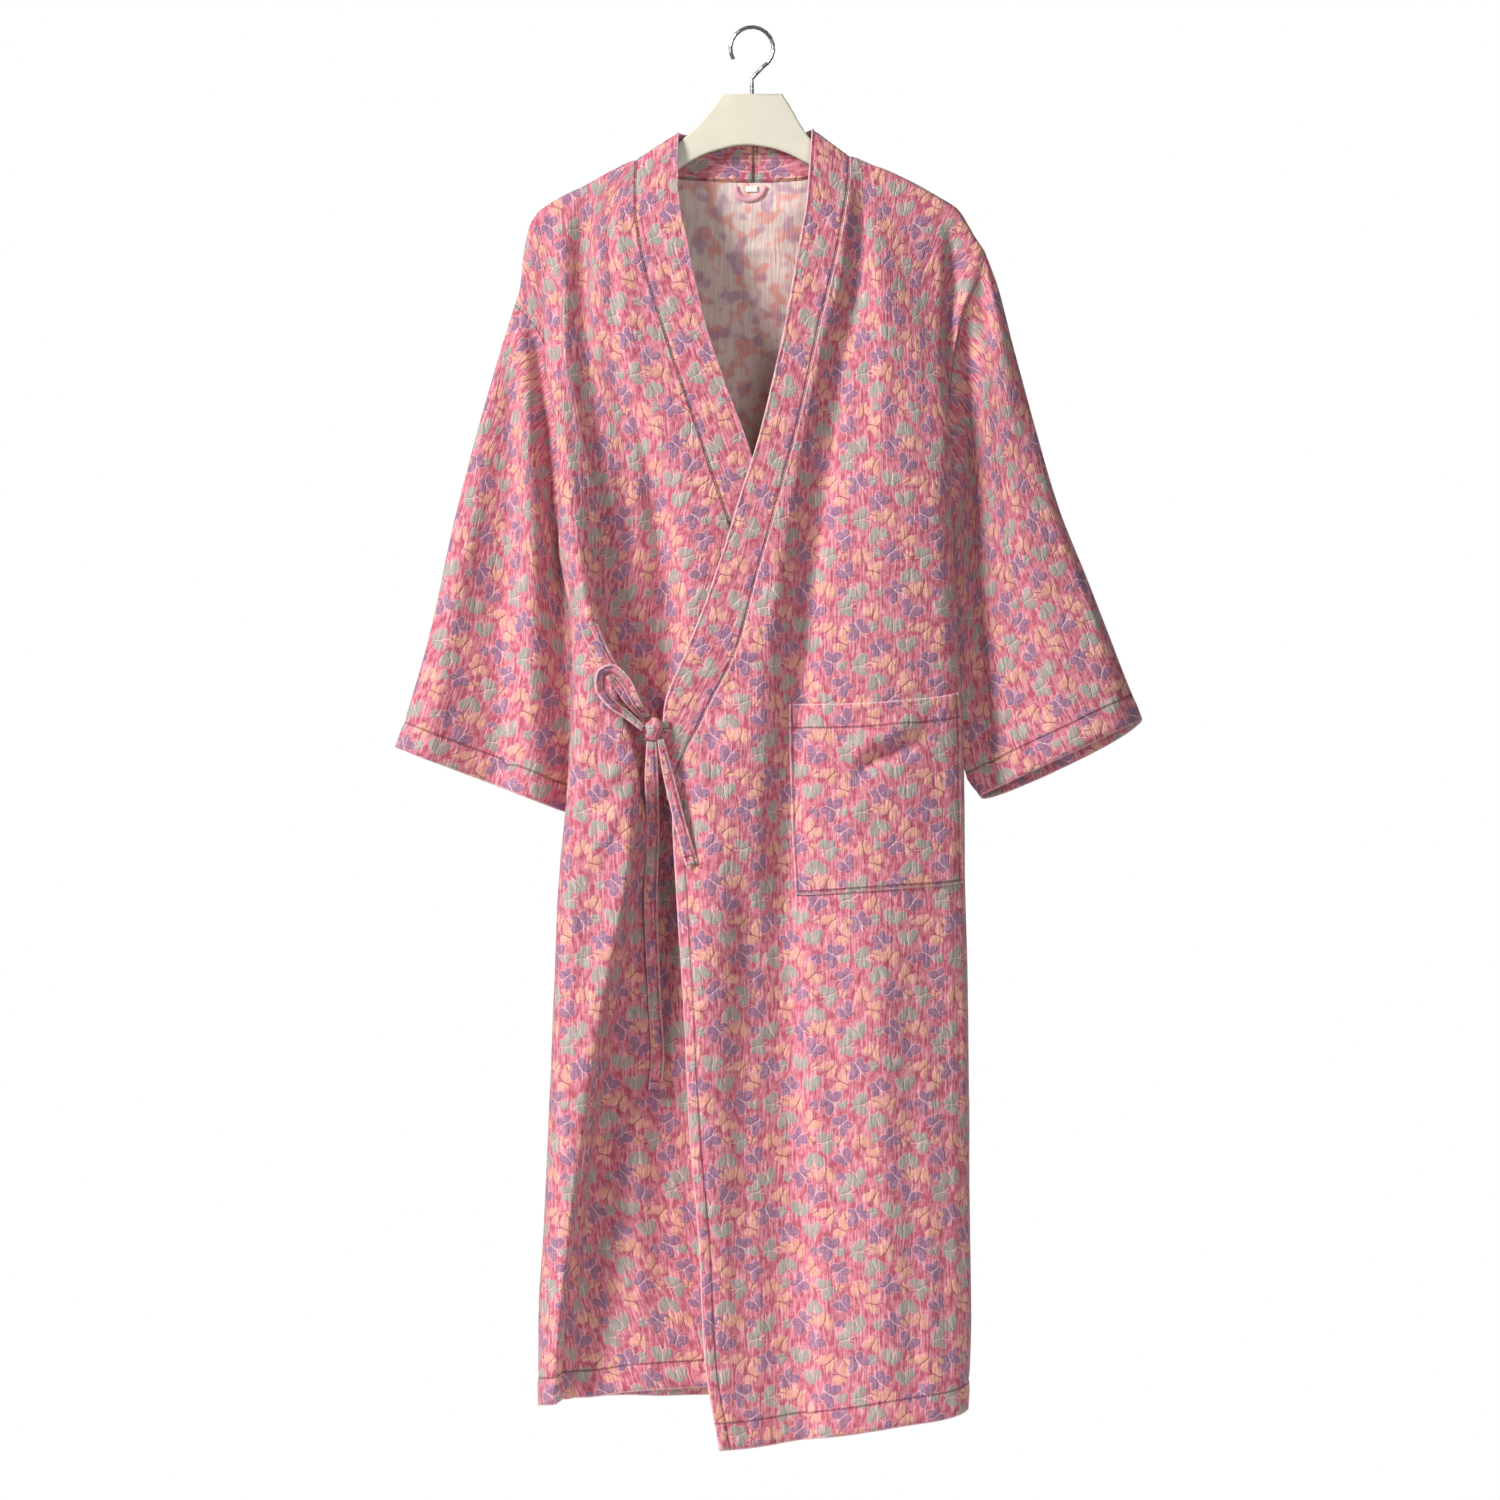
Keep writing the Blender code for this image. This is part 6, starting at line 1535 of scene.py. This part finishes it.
def make_bands(bands, robe, seams):
    """Both halves of the neckband."""
    for side, grid, outward in (("left", bands[0], -1), ("right", bands[1], 1)):
        node = "collar_" + side
        uv = strip_uv(grid)
        grid = rimmed(grid, outward, ["first"], BAND_SEAM_STITCH, GROOVE_DEPTH)
        grid = crinkled(rimmed(grid, outward, ["last"]), outward, SEEDS[node], BAND_CRINKLE_SHARE)
        seams.append(line_at(on_show_side(grid, outward), "first", BAND_SEAM_STITCH))
        stitches = stitch_places(grid, first=BAND_SEAM_STITCH, top=BAND_SEAM_STITCH)
        piece = sheet_mesh("robe_" + node, grid, uv, outward, [robe], stitches=stitches, rims=["last"])
        dress(piece, "band_cloth", node)


def make_pocket(front_left, cloths, seams):
    """The patch pocket on the outer front, whose top edge sags a little."""
    first, last = (sum(OUTER_COLUMNS[:station]) * FINER_COLUMNS for station in POCKET_STATIONS)
    top, bottom = rows_before("pocket_top") * FINER_ROWS, rows_before("pocket_bottom") * FINER_ROWS
    grid = front_left + normals_of(front_left) * (WALL + LAYER_GAP)
    grid = rimmed(grid[top:bottom + 1, first:last + 1], 1, ["first", "last", "bottom"])
    grid = rimmed(grid, 1, ["top"], POCKET_HEM, GROOVE_DEPTH)
    share = np.linspace(0, 1, grid.shape[1])[None, :, None]
    sag = 4 * share * (1 - share) * POCKET_SAG * np.exp(-edge_distance(grid, "top")[:, :, None] / POCKET_HEM)
    grid = grid + sag * np.array(POCKET_SAG_WAY)
    show = on_show_side(grid, 1)
    seams.append(line_at(show, "top", POCKET_HEM))
    seams += [line_at(show, edge, EDGE_STITCH) for edge in ("first", "last", "bottom")]
    stitches = stitch_places(grid, first=EDGE_STITCH, last=EDGE_STITCH, bottom=EDGE_STITCH, top=POCKET_HEM)
    piece = sheet_mesh("robe_pocket", grid, hanging_uv(grid, 0), 1, cloths, stitches=stitches,
                       rims=["top", "bottom", "first", "last"])
    dress(piece, "robe_cloth", "pocket")


def make_ties(robe, seams):
    """The ties, the bow's loop and tails, and its knot, which is cut with the long tail."""
    outer, under, back = panels()
    under_ties = [outer, under, *bands_on(outer, under, back, 1, 1)]
    for name, (tilt, points) in TIES.items():
        grid = strip_grid(points, tilt, under_ties, TIE_ROWS, TIE_COLUMNS)
        ends = {"bottom": TIE_END_STITCH} if "tail" in name else {}
        if ends:
            seams.append(line_at(on_show_side(grid, 1, TIE_CLOTH_WALL), "bottom", TIE_END_STITCH))
        stitches = stitch_places(grid, last=TIE_EDGE_STITCH, **ends)
        piece = sheet_mesh("robe_" + name, grid, strip_uv(grid), 1, [robe], wall=TIE_CLOTH_WALL,
                           stitches=stitches, rims=["first", "last"])
        dress(piece, "tie_cloth", name)
    knot = dress(knot_piece(under_ties, robe), "tie_cloth", "bow_knot")


def make_neck_trims(back_y):
    """The hanging loop and the bare label inside the back neck."""
    for name, node, grid, slot, wall, cloth in (
            ("hanging_loop", "hanging_loop", loop_grid(back_y), "loop_cloth", LOOP_WALL,
             plain_cloth("loop_cotton", *LOOP_COLOURS)),
            ("label", "neck_label", label_grid(back_y), "label_cloth", LABEL_WALL,
             plain_cloth("label_tape", *LABEL_COLOURS))):
        piece = dress(sheet_mesh("robe_" + name, grid, strip_uv(grid), 1, [cloth], wall=wall), slot, node)


def make_robe():
    """Every cloth piece of the robe, and the stitches that sew them."""
    robe = robe_material("robe_cotton")
    cloths = [robe, reverse_material("robe_cotton_reverse"), robe_material("robe_cotton_hem")]
    outer, under, back = panels(FINER_ROWS, FINER_COLUMNS)
    bands = bands_on(outer, under, back, FINER_ROWS, FINER_COLUMNS)
    seams = []
    front_left = make_panels(outer, under, back, cloths, seams)
    make_sleeves(outer, under, back, cloths, seams)
    make_bands(bands, robe, seams)
    make_pocket(front_left, cloths[:2], seams)
    make_ties(robe, seams)
    make_neck_trims(back[0, back.shape[1] // 2, 1])
    dress(stitch_mesh("robe_stitches", seams, thread_material("thread", THREAD)), "robe_cloth")


def label_grid(back_y):
    """The bare label inside the back neck."""
    x, drop = LABEL_CENTRE
    across = x + np.linspace(-0.5, 0.5, LABEL_COLUMNS + 1) * LABEL_WIDTH
    down = drop + np.linspace(-0.5, 0.5, LABEL_ROWS + 1) * LABEL_HEIGHT
    return np.array([[(place, back_y - NECK_TRIM_GAP, level) for place in across] for level in down])


def knot_piece(grids, material):
    """The bow's knot: cloth wrapped round the ties in a few soft turns."""
    x, drop, before = KNOT_CENTRE
    middle = np.array([x, cloth_front(grids, x, drop) - before, drop])
    lean = math.radians(KNOT_TILT)
    grid = []
    for share in np.linspace(0, 1, KNOT_ROWS + 1):
        polar = math.pi * (KNOT_FIRST_RING + KNOT_RINGS_SPAN * share)
        ring = []
        for angle in np.linspace(0, 2 * math.pi, KNOT_SIDES, endpoint=False):
            slant = TURN_SLANT * math.sin(angle + TURN_START)
            turns = 1 + TURN_HEIGHT * math.cos(TURN_COUNT * (share * 2 * math.pi) + slant)
            point = [math.sin(polar) * math.cos(angle) * turns * KNOT_SIZE[0] / 2,
                     math.sin(polar) * math.sin(angle) * turns * KNOT_SIZE[1] / 2,
                     -math.cos(polar) * KNOT_SIZE[2] / 2]
            ring.append([point[0] * math.cos(lean) - point[2] * math.sin(lean), point[1],
                         point[0] * math.sin(lean) + point[2] * math.cos(lean)])
        grid.append(ring)
    grid = np.array(grid) + middle
    uv = np.zeros((KNOT_ROWS + 1, KNOT_SIDES + 1, 2))
    uv[:, :, 0] = np.linspace(0, KNOT_CLOTH[0], KNOT_SIDES + 1)
    uv[:, :, 1] = np.linspace(0, -KNOT_CLOTH[1], KNOT_ROWS + 1)[:, None]
    piece = sheet_mesh("robe_knot", grid, uv, 1, [material], closed=True)
    piece.modifiers.clear()
    shape = bmesh.new()
    shape.from_mesh(piece.data)
    edges = [edge for edge in shape.edges if edge.is_boundary]
    bmesh.ops.holes_fill(shape, edges=edges, sides=0)
    bmesh.ops.recalc_face_normals(shape, faces=shape.faces)
    shape.to_mesh(piece.data)
    shape.free()
    piece.data.shade_smooth()
    return piece


def make_hanger():
    """The hanger's plate with rounded edges, and its wire hook."""
    curve = bpy.data.curves.new("hanger_plate", "CURVE")
    curve.dimensions = "2D"
    curve.fill_mode = "BOTH"
    curve.bevel_depth = PLATE_ROUNDING * MM
    curve.bevel_resolution = PLATE_ROUNDING_STEPS
    curve.offset = -PLATE_ROUNDING * MM
    curve.extrude = (PLATE_HALF - PLATE_ROUNDING) * MM
    curve.resolution_u = PLATE_CURVE_STEPS
    spline = curve.splines.new("BEZIER")
    spline.bezier_points.add(len(HANGER_OUTLINE) - 1)
    for number, (point, (x, drop)) in enumerate(zip(spline.bezier_points, HANGER_OUTLINE)):
        point.co = (x * MM, -drop * MM, 0)
        kind = "VECTOR" if number < PLATE_SQUARE_CORNERS else "AUTO"
        point.handle_left_type = point.handle_right_type = kind
    spline.use_cyclic_u = True
    draft = add_object("hanger_draft", curve)
    draft.rotation_euler = (math.pi / 2, 0, 0)
    bpy.context.view_layer.update()
    seen = draft.evaluated_get(bpy.context.evaluated_depsgraph_get())
    mesh = bpy.data.meshes.new_from_object(seen)
    mesh.transform(draft.matrix_world)
    bpy.data.objects.remove(draft)
    shape = bmesh.new()
    shape.from_mesh(mesh)
    bmesh.ops.remove_doubles(shape, verts=shape.verts, dist=PLATE_WELD)
    shape.to_mesh(mesh)
    shape.free()
    mesh.shade_smooth()
    mesh.set_sharp_from_angle(angle=math.radians(PLATE_SHARP_ANGLE))
    mesh.materials.clear()
    mesh.materials.append(mottled("ivory_plastic", *PLASTIC))
    dress(add_object("hanger_plate", mesh), "hanger_plastic", "hanger")
    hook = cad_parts["hanger_hook"]
    hook.data.materials.clear()
    hook.data.materials.append(mottled("hook_wire", *WIRE))


def make_stage():
    """The camera, a pale floor, soft studio lights and a white surround."""
    scene = bpy.context.scene
    camera = bpy.data.cameras.new("camera")
    camera.sensor_width = CAMERA_SENSOR
    camera.lens = CAMERA_SENSOR * (CAMERA_DISTANCE - VIEW_PLANE) / VIEW_WIDTH
    eye = add_object("camera", camera)
    eye.location = (VIEW_CENTRE[0], -CAMERA_DISTANCE, VIEW_CENTRE[1])
    eye.rotation_euler = (math.pi / 2, 0, 0)
    scene.camera = eye

    bpy.ops.mesh.primitive_plane_add(size=FLOOR_SIZE, location=(0, 0, FLOOR_LEVEL))
    floor = bpy.context.object
    floor.name = "floor"
    shade = Shading("pale_floor")
    place = shade.node("ShaderNodeTexCoord")
    grain = shade.noise(place.outputs["Object"], FLOOR_SCALE)
    shade.put(shade.shader.inputs["Base Color"], shade.mix(grain, *FLOOR_COLOURS))
    floor.data.materials.append(shade.material)

    for name, place, size, power in LIGHTS:
        light = bpy.data.lights.new(name, "AREA")
        light.shape = "DISK"
        light.size = size
        light.energy = power
        lamp = add_object(name, light)
        lamp.location = place
        aim = np.array(LIGHT_TARGET) - np.array(place)
        lamp.rotation_euler = mathutils.Vector(aim).to_track_quat("-Z", "Y").to_euler()

    world = bpy.data.worlds.new("studio")
    world.use_nodes = True
    scene.world = world
    tree = world.node_tree
    paper = tree.nodes["Background"]
    paper.inputs["Color"].default_value = (1, 1, 1, 1)
    rays = tree.nodes.new("ShaderNodeLightPath")
    strength = tree.nodes.new("ShaderNodeMapRange")
    strength.inputs["To Min"].default_value = SURROUND_LIGHT
    strength.inputs["To Max"].default_value = 1.0
    tree.links.new(rays.outputs["Is Camera Ray"], strength.inputs["Value"])
    tree.links.new(strength.outputs[0], paper.inputs["Strength"])
    scene.view_settings.view_transform = "Standard"


make_robe()
make_hanger()
make_stage()
